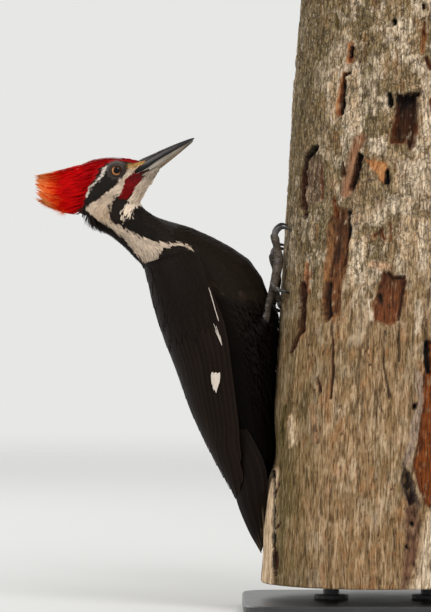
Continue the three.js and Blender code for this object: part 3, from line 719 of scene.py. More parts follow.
# Paths down the middle of the right leg: x, y, z and radius. The left one is its mirror image.
LIMBS = {
    "shank": [
        (-115, -26, 246.5, 3.4), (-113.2, -25.5, 252, 3.5), (-110, -24, 266, 2.9),
        (-107, -22.5, 277, 3.1), (-106, -22, 282, 3.3),
    ],
    "inner": [
        (-106, -19.5, 281, 3.2), (-104, -17.5, 291, 3.5), (-102, -16, 303, 3.6),
        (-103, -15, 313, 2.9), (-105.2, -14.5, 322, 3.3), (-105, -14.5, 325, 2.4),
    ],
    "outer": [
        (-105.6, -25.5, 281, 3.2), (-103.2, -26.5, 291, 3.7), (-101, -28, 303, 3.6),
        (-102.5, -29, 312, 2.9), (-104.6, -29.5, 320.5, 3.4), (-104.4, -29.6, 323.5, 2.5),
    ],
    "side": [
        (-106, -22, 281.5, 3.2), (-105.8, -28, 280.4, 3.2), (-104.8, -34, 278.4, 2.9),
        (-103.8, -37.6, 277.2, 2.3),
    ],
    "rear": [
        (-104.8, -19, 279, 2.4), (-102.5, -15.5, 273, 2.3), (-101.2, -12.5, 267, 2.0),
    ],
}
CLAWS = {
    "inner": [
        (-105.4, -14.5, 321, 2.2), (-104.6, -14.6, 328, 2.1), (-100, -15.5, 333, 1.5),
        (-94.5, -17, 332.5, 0.8), (-92, -18, 330.5, 0.3),
    ],
    "outer": [
        (-104.8, -29.5, 319.5, 2.3), (-103.8, -29.7, 326, 2.2), (-99, -30.5, 330, 1.6),
        (-93, -32, 328.5, 0.9), (-89.2, -33, 325, 0.3),
    ],
    "side": [
        (-104.2, -36.4, 277.6, 1.9), (-101.6, -40.4, 276.8, 1.7), (-96, -41, 275.2, 1.1),
        (-91.4, -38.6, 273.6, 0.35),
    ],
    "rear": [
        (-101.6, -13, 268.5, 1.4), (-101.2, -11.5, 263.5, 1.3), (-98.6, -11, 260.5, 0.8),
        (-96.6, -11, 259.8, 0.3),
    ],
}


def flowing(rows, at):
    """Values that run smoothly through rows 0, 1, 2, ..., read at each of some places."""
    rows = np.asarray(rows, float)
    padded = np.vstack([2 * rows[0] - rows[1], rows, 2 * rows[-1] - rows[-2]])
    at = np.clip(at, 0, len(rows) - 1)
    first = np.minimum(at.astype(int), len(rows) - 2)
    t = (at - first)[..., None]
    a, b, c, d = (padded[first + i] for i in range(4))
    return 0.5 * (
        2 * b + (c - a) * t + (2 * a - 5 * b + 4 * c - d) * t**2 + (3 * b - 3 * c + d - a) * t**3
    )


def unit(vectors):
    """Vectors of the same headings, one long."""
    return vectors / np.maximum(np.linalg.norm(vectors, axis=-1, keepdims=True), 1e-9)


def on_side(points, side):
    """Points of the right leg moved to a side of the bird."""
    if side == "right":
        return points
    return points * [1, -1, 1] - [LEG_DROP * LEAN, 0, LEG_DROP]


def tube(rows, rings, around, flatten):
    """A limb through rows of x, y, z and radius, flattened from the sides, closed at both ends."""
    path = flowing(rows, np.linspace(0, len(rows) - 1, rings))
    centre, girth = path[:, :3], np.maximum(path[:, 3:], 0.05)
    along = unit(np.gradient(centre, axis=0))
    first = np.zeros_like(along)
    side = np.array([0.0, 1.0, 0.0])
    for i, forwards in enumerate(along):
        side = side - forwards * side.dot(forwards)
        side /= np.linalg.norm(side)
        first[i] = side
    second = np.cross(along, first)
    angle = np.linspace(0, tau, around, endpoint=False)[:, None, None]
    points = centre + girth * (flatten * first * np.cos(angle) + second * np.sin(angle))
    points = np.swapaxes(points, 0, 1).reshape(-1, 3)
    return np.vstack([points, centre[0], centre[-1]]), *hooped(rings, around)


def fused(mesh, voxel):
    """One closed body of four-sided faces round a mesh of solids that touch or overlap."""
    points, *face_sets = mesh
    rough = shape("rough", points * MM, *face_sets)
    wrap = rough.modifiers.new("fuse", "REMESH")
    wrap.mode = "VOXEL"
    wrap.voxel_size = voxel * MM
    done = rough.evaluated_get(bpy.context.evaluated_depsgraph_get())
    made = bpy.data.meshes.new_from_object(done)
    found = np.zeros(len(made.vertices) * 3, np.float32)
    made.vertices.foreach_get("co", found)
    corners = np.zeros(len(made.loops), np.int32)
    made.loops.foreach_get("vertex_index", corners)
    bpy.data.objects.remove(rough)
    bpy.data.meshes.remove(made)
    return found.reshape(-1, 3).astype(float) / MM, corners.reshape(-1, 4)


def edges_of(quads):
    """Each edge of some faces once, as a pair of points."""
    pairs = np.concatenate([quads[:, [i, (i + 1) % 4]] for i in range(4)])
    return np.unique(np.sort(pairs, axis=1), axis=0)


def smoothed(points, quads, rounds):
    """Points relaxed towards their neighbours, in and out again so that the body keeps its size."""
    pairs = edges_of(quads)
    first = np.concatenate([pairs[:, 0], pairs[:, 1]])
    second = np.concatenate([pairs[:, 1], pairs[:, 0]])
    count = np.bincount(first, minlength=len(points))[:, None]
    for strength in [0.5, -0.52] * rounds:
        sums = np.stack(
            [np.bincount(first, points[second, i], len(points)) for i in range(3)], -1
        )
        points = points + strength * (sums / count - points)
    return points


def normals_of(points, quads):
    """The way out of a body at each of its points."""
    a, b, c, d = (points[quads[:, i]] for i in range(4))
    facing = np.cross(c - a, d - b)
    total = np.zeros_like(points)
    for i in range(4):
        for k in range(3):
            total[:, k] += np.bincount(quads[:, i], facing[:, k], len(points))
    return unit(total)


def joined(meshes):
    """Several meshes, each its points and its sets of faces, as one."""
    starts = np.cumsum([0] + [len(mesh[0]) for mesh in meshes])
    sets = [
        np.vstack([faces + start for faces, start in zip(same, starts)])
        for same in list(zip(*meshes))[1:]
    ]
    return np.vstack([mesh[0] for mesh in meshes]), *sets


def solids(names):
    """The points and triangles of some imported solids, in millimetres."""
    meshes = []
    for name in names:
        mesh = nodes[name].data
        mesh.calc_loop_triangles()
        places = np.array([v.co for v in mesh.vertices]) / MM
        meshes.append((places, np.array([t.vertices for t in mesh.loop_triangles])))
    return joined(meshes)


def crown_gap(places):
    """How far places lie behind the line where the long crest feathers begin to cover."""
    return -256 - 0.19 * (390 - places[:, 2]) - places[:, 0]


BREAST_LINE = [(-214, 341), (-205, 338), (-185, 333), (-171, 328), (-150, 319), (-137, 310)]


def above_breast(places):
    """How far places lie above the line of the throat and breast."""
    return places[:, 2] - np.interp(places[:, 0], *zip(*BREAST_LINE))


hull, hull_faces = fused(solids(FLESH), FLESH_VOXEL)
hull = smoothed(hull, hull_faces, 14)
hull_normals = normals_of(hull, hull_faces)
hull_tree = BVHTree.FromPolygons(hull.tolist(), hull_faces.tolist())

# How deep the feathers lie on each part, kept under a third of the body's own thickness there.
THICKEST = 60.0
through = np.full(len(hull), THICKEST)
for i, (place, normal) in enumerate(zip(hull.tolist(), hull_normals.tolist())):
    start = Vector(place) - Vector(normal) * 0.3
    hit = hull_tree.ray_cast(start, -Vector(normal), THICKEST)
    if hit[0] is not None:
        through[i] = hit[3]
x, y, z = hull.T
from_eye = np.hypot(x - EYE[0], z - EYE[1])
head_share = 1 - rise(np.hypot(x + 238, z - 370), 24, 34)
crest_share = rise(crown_gap(hull), 0, 14) * rise(z, 326, 344)
# On the throat and the breast's edge the feathers are short and stand a little.
breast_share = rise(above_breast(hull), -14, -4) * rise(x, -217, -208) * rise(-x, 172, 192)
depth = 1.15 + 0.15 * head_share + 3.6 * crest_share - 0.5 * breast_share
depth = np.minimum(depth, 0.3 * through)
skin_points = hull - hull_normals * depth[:, None]
skin_points = smoothed(skin_points, hull_faces, 3)
# It stops short of the crest's end, which only the loose tips reach.
CREST_SKIN_END = -290
drawn_in = 0.15 * skin_points[:, 0] + 0.85 * CREST_SKIN_END
skin_points[:, 0] = np.maximum(skin_points[:, 0], drawn_in)
# A flat seat round each eyeball for the lids.
seat = (1 - rise(from_eye, 4.8, 7.4)) * (np.abs(y) > 9)
level = np.sign(y) * (15.4 - 1.5 * (1 - rise(from_eye, 0, 5)))
skin_points[:, 1] += seat * (level - skin_points[:, 1])
# The face draws in round the root of the bill, in front of a line that slants up from the gape.
BILL_ROOT = [(-226.8, 377.0), (-216.2, 380.2), (-204, 385), (-206, 396), (-216.6, 388.0)]
pinch = rise(-gap_to(skin_points[:, 0], skin_points[:, 2], BILL_ROOT), -0.4, 0.6)
narrow = np.sign(y) * np.minimum(np.abs(skin_points[:, 1]), 5.2)
skin_points[:, 1] += pinch * (narrow - skin_points[:, 1])
skin_tree = BVHTree.FromPolygons(skin_points.tolist(), hull_faces.tolist())

# Plumage colours, and the outlines of the markings seen from the side, the same on both sides.
BLACK = tint("#1d1610")
SOOTY = tint("#0a0705")
HEM_HIGHLIGHT = tint("#3c2f24")
EAR = tint("#1f1a17")
CREAM = tint("#d8c2ab")
WHITE = tint("#ddd0c2")
RED = tint("#9c0306")
MALAR = tint("#7c0308")
BUFF = tint("#c39556")
GREY = tint("#39322e")
STRIPE = [
    (-213, 386.1), (-230, 381.8), (-236, 373.2), (-240.3, 367.2), (-248, 361.2), (-254.9, 356),
    (-263.5, 351.7), (-266, 347.5), (-264.2, 343.4), (-258.3, 338.9), (-249.2, 333.2),
    (-240.1, 326.4), (-233.7, 320.4), (-228.7, 314.4), (-224.5, 308.8), (-219.5, 303.6),
    (-211.9, 302), (-204.6, 304), (-203, 309), (-200, 312.4), (-196, 314), (-188.5, 315.8),
    (-183, 315.2), (-179.6, 312.6), (-176, 308), (-175.2, 309.8), (-177.8, 314.8), (-182.6, 317.6),
    (-188.6, 318.8), (-196, 318), (-206, 318.4), (-213, 320), (-220.5, 322.9), (-229.1, 327.2),
    (-237.7, 332), (-244.6, 335.4), (-246.3, 340.6), (-247.2, 346.6), (-243.7, 351.7),
    (-238.6, 356.9), (-234.3, 364.6), (-230.8, 370.7), (-226.5, 377.5), (-212, 379.1),
]
EAR_PATCH = [
    (-252.3, 374.1), (-245.4, 372.4), (-236.8, 371.5), (-240.3, 367.2), (-244.6, 362.9),
    (-249.7, 359.5), (-254.9, 356), (-263.5, 351.7), (-265.2, 355.2), (-261.8, 361.2),
    (-257.5, 368.1),
]
EYE_LINE = [
    (-249.6, 384.2), (-247.9, 383), (-249.6, 378.6), (-251.2, 375), (-254.4, 371.2),
    (-258.2, 367.9), (-262.2, 362.3), (-264.3, 357.2), (-265.4, 357.6), (-263.2, 364.2),
    (-259.8, 369.4), (-255.8, 373.3), (-252.9, 377.2), (-251.6, 381),
]
BROW = [
    (-249, 381), (-247, 386), (-240, 388), (-233, 387), (-229.5, 382.5), (-231.5, 376),
    (-236.8, 371.5), (-243, 371.5), (-248, 374.5),
]
CAP = [
    (-216, 390.4), (-223.1, 387.4), (-231.7, 387), (-239.4, 388), (-247, 386.2), (-252.2, 383.2),
    (-256.2, 378.4), (-257, 374.5), (-260.5, 370.7), (-263.2, 364.6), (-265.6, 357.8),
    (-267.6, 350.9), (-269.8, 346.4), (-274.6, 342), (-280, 335.4), (-323, 320), (-323, 410),
    (-216, 410),
]
MALAR_STRIPE = [
    (-210, 381), (-220.5, 379.6), (-226.5, 377), (-230.4, 370.7), (-234.8, 363.8), (-238.6, 357.8),
    (-234.6, 355.2), (-229.8, 356.2), (-223.6, 364), (-219, 371.5), (-213, 377),
]
MALAR_TAIL = [
    (-229.6, 357), (-238.8, 359), (-244.7, 350.9), (-247.3, 344.9), (-245.6, 338), (-240.3, 335.3),
    (-236, 338.7), (-235, 345.9),
]
THROAT = [
    (-198, 386), (-212, 378), (-219, 370), (-224, 361.2), (-229.6, 354), (-234.3, 347),
    (-236, 340), (-233.4, 338.3), (-229, 342.5), (-224.2, 348.6), (-219.4, 352.2), (-212, 353),
    (-200, 366), (-194, 378),
]
NASAL = [
    (-212, 391), (-223.9, 387.9), (-230.5, 383.6), (-231.4, 381.8), (-227.4, 381), (-221, 383),
    (-212, 386),
]
PAINTED = [
    (STRIPE, CREAM), (EAR_PATCH, EAR), (BROW, GREY), (EYE_LINE, WHITE),
    (THROAT, WHITE * [1.2, 1.11, 1.0]), (MALAR_TAIL, BLACK), (MALAR_STRIPE, MALAR), (CAP, RED),
    (NASAL, BUFF),
]


def markings(places):
    """The plumage colour at each place on the head, neck and body."""
    x, y, z = places.T
    # The black is brown on the neck and breast, down to a hem over the thighs, then sooty. A paler
    # brown line along the hem is a painted highlight.
    hem = z - 272 - 8 * ((x + 128) / 30) ** 2
    colour = taken_to(BLACK, SOOTY, 0.7 * rise(-hem, 0, 7) + 0.3 * rise(262 - z, 0, 45))
    hem_highlight = hump(hem, 2, 1.5) * rise(noise(x / 5, z / 3 + y / 5, 305), 0.35, 0.75)
    colour = taken_to(colour, HEM_HIGHLIGHT, 0.7 * hem_highlight * rise(x, -166, -156))
    stray = (noise(x / 2.1, z / 2.1 + y / 3, 301) - 0.5) * 1.5
    for outline, paint in PAINTED:
        blend = 2.4 if outline is NASAL else 0.5
        share = 1 - rise(gap_to(x + stray, z - stray, outline), -blend, blend)
        colour = taken_to(colour, paint, share)
    # A paler crescent over the eye, a painted highlight on the brow, and a dark corner between the
    # eye and the bill.
    from_eye = np.hypot(x - EYE[0], z - EYE[1])
    brow_highlight = hump(from_eye, 7.2, 1.5) * rise(z - EYE[1] + 0.3 * (EYE[0] - x), 0, 5)
    colour = taken_to(colour, "#7b7472", 0.6 * brow_highlight)
    corner = np.exp(-((x + 231.6) ** 2 + (z - 383) ** 2) / 7)
    colour = taken_to(colour, "#1c1613", 0.75 * corner)
    # Cream on the cheek turns browner behind the ear, and to a duller white down the neck.
    pale = (colour.mean(1) > 0.2)[:, None]
    down = rise(350 - z, 0, 30)[:, None]
    soiled = np.exp(-((x + 251) ** 2 + (z - 343) ** 2) / 90)[:, None]
    smudge = rise(noise(x / 2.4 + 5, z / 5 + y / 4, 311), 0.45, 0.8)[:, None]
    colour = colour * (1 - pale * (0.16 * down + 0.22 * smudge + 0.30 * soiled))
    return colour * (1 - pale * soiled * [0.0, 0.08, 0.18])


# The bare legs: a shank and four toes fused, then cut into plates.
bare_meshes, bare_colours = [], []
for side in SIDES:
    parts, traces = [], []
    for rows in LIMBS.values():
        made, *faces = tube(rows, LIMB_RINGS, LIMB_SIDES, flatten=0.92)
        parts.append((on_side(made, side), *faces))
        trace = flowing(rows, np.linspace(0, len(rows) - 1, 60))[:, :3]
        run = np.append(0, np.cumsum(np.linalg.norm(np.diff(trace, axis=0), axis=1)))
        traces.append(np.column_stack([on_side(trace, side), run]))
    made, quads = fused(joined(parts), LEG_VOXEL)
    made = smoothed(made, quads, 3)
    outward = normals_of(made, quads)
    trace = np.vstack(traces)
    # How far down its toe each point lies, found a part at a time to spare memory.
    blocks = np.array_split(made, 24)
    gaps = (((block[:, None] - trace[None, :, :3]) ** 2).sum(-1) for block in blocks)
    run = trace[np.concatenate([np.argmin(gap, axis=1) for gap in gaps]), 3]
    front = rise(-outward[:, 0], -0.15, 0.35)
    plate = (run / 2.1 + 0.25 * outward[:, 1] ** 2) % 1
    ridge = 1 - np.abs(2 * plate - 1) ** 5
    bead_x, bead_z = made[:, 1] * 1.1 + made[:, 0] * 0.7, made[:, 2] * 1.3
    beads = noise(bead_x, bead_z, 17)
    swell = front * (0.26 * ridge - 0.16) + (1 - front) * 0.30 * (beads - 0.4)
    swell = swell + 0.25 * (noise(made[:, 0] / 3, made[:, 2] / 3 + made[:, 1] / 3, 19) - 0.5)
    made = made + outward * swell[:, None]
    # The grooves between the plates, and between the beads of the soles, are painted darker as
    # painted shade; dull darkens patches at random.
    groove = front * (1 - rise(ridge, 0.35, 0.95))
    groove = groove + (1 - front) * 0.55 * (1 - rise(beads, 0.2, 0.6))
    colour = taken_to(tint("#54493f"), "#7b7776", 0.6 * front * rise(beads, 0.45, 0.8))
    dull = 0.45 * (1 - rise(noise(made[:, 0] / 4, made[:, 2] / 5, 23), 0.3, 0.7))
    colour = taken_to(colour, "#231f1d", np.clip(groove + dull, 0, 0.9))
    bare_meshes.append((made, quads))
    bare_colours.append(colour)

# The rims of the eyes: a soft beaded ring of bare grey skin, sitting on the ball.
# Each row: distance from the eye's middle, distance out from the bird's, and lightness.
LID = [
    (4.0, 15.6, 0.2), (4.15, 16.1, 0.25), (4.35, 16.45, 0.5), (4.65, 16.6, 1.0), (5.0, 16.5, 1.05),
    (5.4, 16.25, 1.0), (5.8, 15.9, 0.9), (6.3, 15.4, 0.8), (7.0, 14.6, 0.6),
]
lid_turns = np.linspace(0, tau, LID_SIDES, endpoint=False)
for side in SIDES.values():
    lid = []
    for i, (r, out, _) in enumerate(LID):
        bead = 0.13 * np.sin(22 * lid_turns + 1.3 * i) * (2 <= i <= 6)
        crease = 0.10 * np.sin(5 * lid_turns + i) * (i > 2)
        reach = (r + 0.25 * bead) * (1 + 0.05 * np.cos(2 * (lid_turns - 0.3)))
        across, up = reach * np.cos(lid_turns), reach * np.sin(lid_turns)
        lid.append(np.stack([EYE[0] + across, side * (out + bead + crease), EYE[1] + up], -1))
    quads = hooped(len(LID), LID_SIDES)[0]
    bare_meshes.append((np.concatenate(lid), quads if side < 0 else quads[:, ::-1]))
    shade = np.repeat([row[2] for row in LID], LID_SIDES)
    # Each rim is painted lighter towards its upper front, as a painted highlight where the lamps
    # fall.
    shade = shade * (1 + 0.9 * np.tile(np.maximum(np.cos(lid_turns - 1.0), 0) ** 2, len(LID)))
    bare_colours.append(tint("#332b27") * shade[:, None])

hide, place = finish("scaly_skin", Roughness=0.55, Specular_IOR_Level=0.12)
grit = place.noise(2600.0, 3.0)
flush = place.noise(420.0, 3.0).step(0.5, 0.75) * 0.6
soiled = place.painted("Hide").mixed((0.55, 0.50, 0.46, 1), flush, "MULTIPLY")
soiled.mixed((0.75, 0.72, 0.70, 1), grit.step(0.55, 0.75), "MULTIPLY").feed("Base Color")
grit.emboss(0.5, 0.0003)
points, quads = joined([(skin_points, hull_faces)] + bare_meshes)
skin = shape("skin", points * MM, quads, material=hide)
paint_points(skin, "Hide", np.concatenate([markings(skin_points) * 0.85] + bare_colours))
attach(skin, "root")
bare = ["shank"] + [f"toe_{name}" for name in ("inner", "outer", "side", "rear")]
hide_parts(*FLESH[:8], *(f"{name}_{side}" for name in bare for side in SIDES))

# ---- Eyes: two glass-clear balls with an orange-brown iris round a wide black pupil ----
# As a taxidermist's glass eye: colour fired behind a clear, wet front. Each sits in its lids.
PUPIL = 2.75
IRIS = 4.15
FRONT_BULGE = 0.012  # how much farther the front stands out, of the radius
EYE_RINGS, EYE_SIDES = 36, 56
eye_glass, place = finish(
    "eye", Roughness=0.3, Coat_Weight=0.3, Coat_Roughness=0.02, Specular_IOR_Level=0.0
)
eye_x = (place.part(0) - EYE[0] * MM) * 1000
eye_z = (place.part(2) - EYE[1] * MM) * 1000
from_middle = (eye_x * eye_x + eye_z * eye_z) ** 0.5
fired = place.stretched(1, 0.2, 1).noise(1500.0, 3.0)
iris = solid_colour(place, "#c98550").mixed("#6a3a1c", fired.step(0.4, 0.75) * 0.5)
# The iris is painted darker towards its upper front, as the shade of the lids over it.
iris = iris.mixed("#24130b", (eye_x * 0.9 + eye_z * 0.8).step(-2.6, 2.0) * 0.96)
iris = iris.mixed("#3c1c0c", (1 - from_middle.step(PUPIL, PUPIL + 0.7)) * 0.7)
iris = iris.mixed("#1a0f0a", from_middle.step(IRIS - 0.35, IRIS))
iris = iris.mixed((0.0015, 0.0013, 0.0012, 1), 1 - from_middle.step(PUPIL - 0.1, PUPIL + 0.1))
iris.feed("Base Color")
for name, side in SIDES.items():
    polar = np.linspace(0, pi, EYE_RINGS + 1)[1:-1, None]
    spin = np.linspace(0, tau, EYE_SIDES, endpoint=False)[None]
    bulge = EYE_RADIUS * (1 + FRONT_BULGE * hump(polar, 0, 0.45))
    ball = np.stack(
        [
            EYE[0] + bulge * np.sin(polar) * np.cos(spin),
            side * (EYE_OUT + bulge * np.cos(polar)) + 0 * spin,
            EYE[1] + bulge * np.sin(polar) * np.sin(spin),
        ],
        -1,
    ).reshape(-1, 3)
    poles = [(EYE[0], side * (EYE_OUT + s * EYE_RADIUS), EYE[1]) for s in (1 + FRONT_BULGE, -1)]
    ids = np.arange(len(ball)).reshape(-1, EYE_SIDES)
    turned = np.roll(ids, -1, axis=1)
    quads = np.stack([ids[:-1], ids[1:], turned[1:], turned[:-1]], -1).reshape(-1, 4)
    front, back = len(ball), len(ball) + 1
    caps = np.concatenate(
        [
            np.stack([ids[0], turned[0], np.full(EYE_SIDES, front)], -1),
            np.stack([turned[-1], ids[-1], np.full(EYE_SIDES, back)], -1),
        ]
    )
    if side > 0:
        quads, caps = quads[:, ::-1], caps[:, ::-1]
    points = np.vstack([ball, poles]) * MM
    eyeball = shape(f"eyeball_{name}", points, quads, caps, material=eye_glass)
    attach(eyeball, "root")
    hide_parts(f"eye_{name}")

# ---- Bill: two horn sheaths, a ridged slate upper half and a paler lower half ----
# Chisel-tipped, with a groove forward from the nostril and fine wear lines along the horn.
# The roots run back into the skull under the bristly tufts. Sizes are in the head's own frame.
HEAD_PITCH = radians(28)
BITE_HEIGHT = -8.6
BITE_SAG = 1.4
BITE_RISE = 0.036
BILL_GAP = 0.14
# Forwards of the eye, height of the ridge, half width.
UPPER_BILL = [
    (9, -1.4, 7.2), (20, -0.5, 7.2), (31, -1.1, 5.8), (43, -1.9, 4.4), (55, -3.0, 3.1),
    (65, -4.3, 2.0), (70.4, -5.3, 1.3), (71.9, -6.2, 0.8),
]
LOWER_BILL = [
    (9, -14.6, 6.6), (21, -15.8, 6.7), (31, -16.0, 5.6), (42, -14.2, 4.3), (52, -12.3, 3.2),
    (62, -10.2, 2.1), (68.6, -8.6, 1.2), (70.1, -7.7, 0.6),
]


def in_head(forwards, out, up):
    """Places given in the head's own frame, moved to the pitched head."""
    return np.stack(
        [
            EYE[0] + forwards * cos(HEAD_PITCH) - up * sin(HEAD_PITCH),
            out,
            EYE[1] + forwards * sin(HEAD_PITCH) + up * cos(HEAD_PITCH),
        ],
        -1,
    )


horn, place = finish("horn_sheath", Specular_IOR_Level=0.14)
horn_colour = place.painted("Horn")
scuff = place.noise(1400.0, 4.0, 0.6)
horn_colour.mixed((0.62, 0.60, 0.58, 1), scuff.step(0.5, 0.8), "MULTIPLY").feed("Base Color")
(0.26 + 0.26 * scuff).feed("Roughness")
scuff.emboss(0.3, 0.0002)

BILL_RINGS = 110
BILL_SIDES = 40
bill_meshes = []
for name, rows, side, slot in (
    ("bill_upper_sheath", UPPER_BILL, 1, "bill_slate"),
    ("bill_lower_sheath", LOWER_BILL, -1, "bill_pale"),
):
    along = np.linspace(0, len(rows) - 1, BILL_RINGS)
    forwards, ridge, half = flowing(rows, along).T[:, :, None]
    bite = BITE_HEIGHT - BITE_SAG * hump(forwards, 21, 9)
    bite = bite + BITE_RISE * np.maximum(forwards - 25, 0) + side * BILL_GAP / 2
    angle = np.linspace(0, pi, BILL_SIDES)[None]
    up_share = np.sin(angle)
    # From the biting edge the wall stands nearly upright, then leans in to a narrow ridge.
    height = up_share**0.9
    width = np.cos(angle)
    lean_in = np.sign(width) * np.abs(width) ** (1.25 if side > 0 else 1.05)
    groove = hump(up_share, 0.62, 0.11) * (1 - rise(forwards, 30, 62))
    groove = groove * (0.9 if side > 0 else 0.25)
    keel = hump(up_share, 0.42, 0.10) * (1 - rise(forwards, 38, 66))
    out = half * lean_in * (1 - 0.10 * groove + 0.05 * keel)
    wear = noise(forwards / 5 + 0 * angle, angle * 9 + side, 401) - 0.5
    up = bite + height * (ridge - bite) * (1 + 0.012 * wear)
    points = in_head(forwards + 0 * angle, out, up)
    points = np.vstack([points.reshape(-1, 3), points[[0, -1]].mean(axis=1)])
    quads, fans = hooped(BILL_RINGS, BILL_SIDES)
    if side < 0:
        quads, fans = quads[:, ::-1], fans[:, ::-1]
    streak = rough_noise(forwards / 16 + 0 * angle, angle * 7 + 3 * side, 411)
    fine = rough_noise(forwards / 9 + 0 * angle, angle * 19 + 3 * side, 421)
    tip = rise(forwards, 52, 66)
    if side > 0:
        ground = "#1f1c1b"
        band = hump(up_share, 0.46, 0.10) * (1 - rise(forwards, 36, 62))
        stains = [
            ("#8f8b8c", 0.85 * band * rise(streak, 0.25, 0.6)),
            ("#5a5654", 0.6 * rise(fine, 0.5, 0.75)),
            # darker along the biting edge: painted shade of the join between the two halves
            ("#0f0f10", 0.9 * (1 - rise(up_share, 0.14, 0.32))),
            ("#232326", 0.8 * tip),
        ]
    else:
        ground = "#857c70"
        stains = [
            ("#b0a698", 0.8 * ((1 - rise(forwards, 22, 44)) * (1 - rise(up_share, 0.3, 0.7)))),
            ("#86694a", 0.85 * rise(up_share, 0.45, 0.85)),
            ("#a1957c", 0.45 * rise(streak, 0.55, 0.7)),
            ("#55524f", 0.55 * rise(fine, 0.5, 0.72)),
            # darker along the biting edge: painted shade of the join under the upper half
            ("#26262a", 0.7 * (1 - rise(up_share, 0.0, 0.12))),
            ("#232326", 0.8 * tip * 0.75),
        ]
    colour = np.ones(streak.shape + (3,)) * tint(ground)
    for code, share in stains:
        colour = taken_to(colour, code, share)
    colour = colour.reshape(-1, 3)
    bill_meshes.append((points, quads))
    sheath = shape(name, points * MM, quads, fans, material=horn)
    paint_points(sheath, "Horn", np.vstack([colour, colour[0], colour[-1]]))
    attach(sheath, "root")
    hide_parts("bill_upper" if side > 0 else "bill_lower")

# ---- Claws: eight deep hooks of dark horn, sharp, pressed into the wood ----
# Each grows out of the last joint of its toe, deeper than it is wide, with a worn grey base.
CLAW_RINGS = 44
claw_horn, place = finish("claw_horn", Roughness=0.3, Specular_IOR_Level=0.5)
scrape = place.noise(1800.0, 3.0)
scraped = place.painted("Horn").mixed((0.55, 0.52, 0.50, 1), scrape.step(0.45, 0.8), "MULTIPLY")
scraped.feed("Base Color")
scrape.emboss(0.25, 0.0002)
run = np.append(np.repeat(np.linspace(0, 1, CLAW_RINGS), LIMB_SIDES), [0, 1])
streak = rough_noise(run * 6, np.arange(len(run)) % LIMB_SIDES / 2.5, 431)
colour = taken_to(tint("#4a4442"), "#141213", rise(run, 0.15, 0.5)) * (0.7 + 0.6 * streak)[:, None]
for side in SIDES:
    hooks = []
    for rows in CLAWS.values():
        made, quads, fans = tube(rows, CLAW_RINGS, LIMB_SIDES, flatten=0.72)
        if side == "left":
            quads, fans = quads[:, ::-1], fans[:, ::-1]
        hooks.append((on_side(made, side), quads, fans))
    points, *faces = joined(hooks)
    claws = shape(f"claw_hooks_{side}", points * MM, *faces, material=claw_horn)
    paint_points(claws, "Horn", np.tile(colour, (len(CLAWS), 1)))
    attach(claws, "root")
    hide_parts(*(f"claw_{name}_{side}" for name in CLAWS))

# ---- Coat of the head, neck and body: contour feathers laid like tiles from bill to tail ----
# Each is a thin closed vane with a raised shaft line, its root at the skin and its tip on the
# feathers behind. They are tiny on the face and widen down the neck to the back and breast.
# How the plumage lies, seen from the side: a place, and the way feathers point there.
LIE = [
    (-222, 386, -0.97, 0.24), (-240, 390, -1.0, 0.02), (-262, 386, -0.99, -0.12),
    (-292, 378, -0.96, -0.26), (-272, 362, -1.0, -0.06), (-294, 358, -1.0, 0.08),
    (-270, 349, -0.97, -0.22), (-250, 368, -0.93, -0.37), (-259, 357, -0.80, -0.60),
    (-228, 378, -0.90, -0.42), (-236, 366, -0.84, -0.54), (-246, 357, -0.72, -0.70),
    (-226, 371, -0.70, -0.71), (-234, 358, -0.58, -0.81), (-208, 381, -0.80, -0.60),
    (-216, 369, -0.66, -0.75), (-225, 357, -0.52, -0.85), (-229, 348, -0.22, -0.97),
    (-266, 341, 0.30, -0.95), (-255, 330, 0.66, -0.75), (-246, 341, 0.34, -0.94),
    (-237, 327, 0.70, -0.71), (-219, 344, 0.30, -0.95), (-206, 338, 0.82, -0.57),
    (-229, 311, 0.74, -0.67), (-214, 303, 0.30, -0.95), (-205, 270, 0.20, -0.98),
    (-192, 225, 0.42, -0.91), (-215, 325, 0.82, -0.57), (-190, 331, 0.90, -0.43),
    (-185, 310, 0.60, -0.80), (-160, 319, 0.84, -0.54), (-131, 300, 0.52, -0.85),
    (-160, 285, 0.42, -0.91), (-114, 268, 0.16, -0.99), (-140, 245, 0.30, -0.95),
    (-108, 230, 0.0, -1.0), (-107, 190, -0.02, -1.0), (-145, 190, 0.32, -0.95),
    (-113, 140, -0.1, -0.99), (-135, 140, 0.36, -0.93), (-122, 108, -0.3, -0.95),
]
# A line down the middle of the bird, for spreading the plumage out flat.
SPINE = [
    (-205, 386), (-238, 373), (-247, 350), (-232, 330), (-205, 312), (-175, 285), (-158, 250),
    (-145, 205), (-132, 160), (-118, 100),
]
PATCH = 0.003  # how large each feather is on its flat map
TRIES = 5  # places tried for each that there is room for


def lie_at(places, faces_out):
    """The way feathers point at some places, along the surface."""
    x, z = places[..., 0], places[..., 2]
    way = np.zeros(places.shape)
    for px, pz, dx, dz in LIE:
        near = 1 / ((x - px) ** 2 + (z - pz) ** 2 + 20) ** 1.5
        way[..., 0] += dx * near
        way[..., 2] += dz * near
    way = unit(way)
    return unit(way - faces_out * (way * faces_out).sum(-1, keepdims=True))


def flat_place(places):
    """Where places fall when the skin is opened along its back: round the body, and along it."""
    best = np.full(len(places), 1e9)
    angle, run = np.zeros(len(places)), np.zeros(len(places))
    before = 0
    for (ax, az), (bx, bz) in zip(SPINE, SPINE[1:]):
        dx, dz = bx - ax, bz - az
        length = np.hypot(dx, dz)
        px, pz = places[:, 0] - ax, places[:, 2] - az
        t = np.clip((px * dx + pz * dz) / length**2, 0, 1)
        gap = np.hypot(px - t * dx, pz - t * dz)
        across = (px * dz - pz * dx) / length
        closer = gap < best
        best = np.where(closer, gap, best)
        angle = np.where(closer, np.arctan2(places[:, 1], across), angle)
        run = np.where(closer, before + t * length, run)
        before += length
    return np.stack([0.5 + 0.48 * angle / pi, 0.02 + 0.96 * run / before], -1)


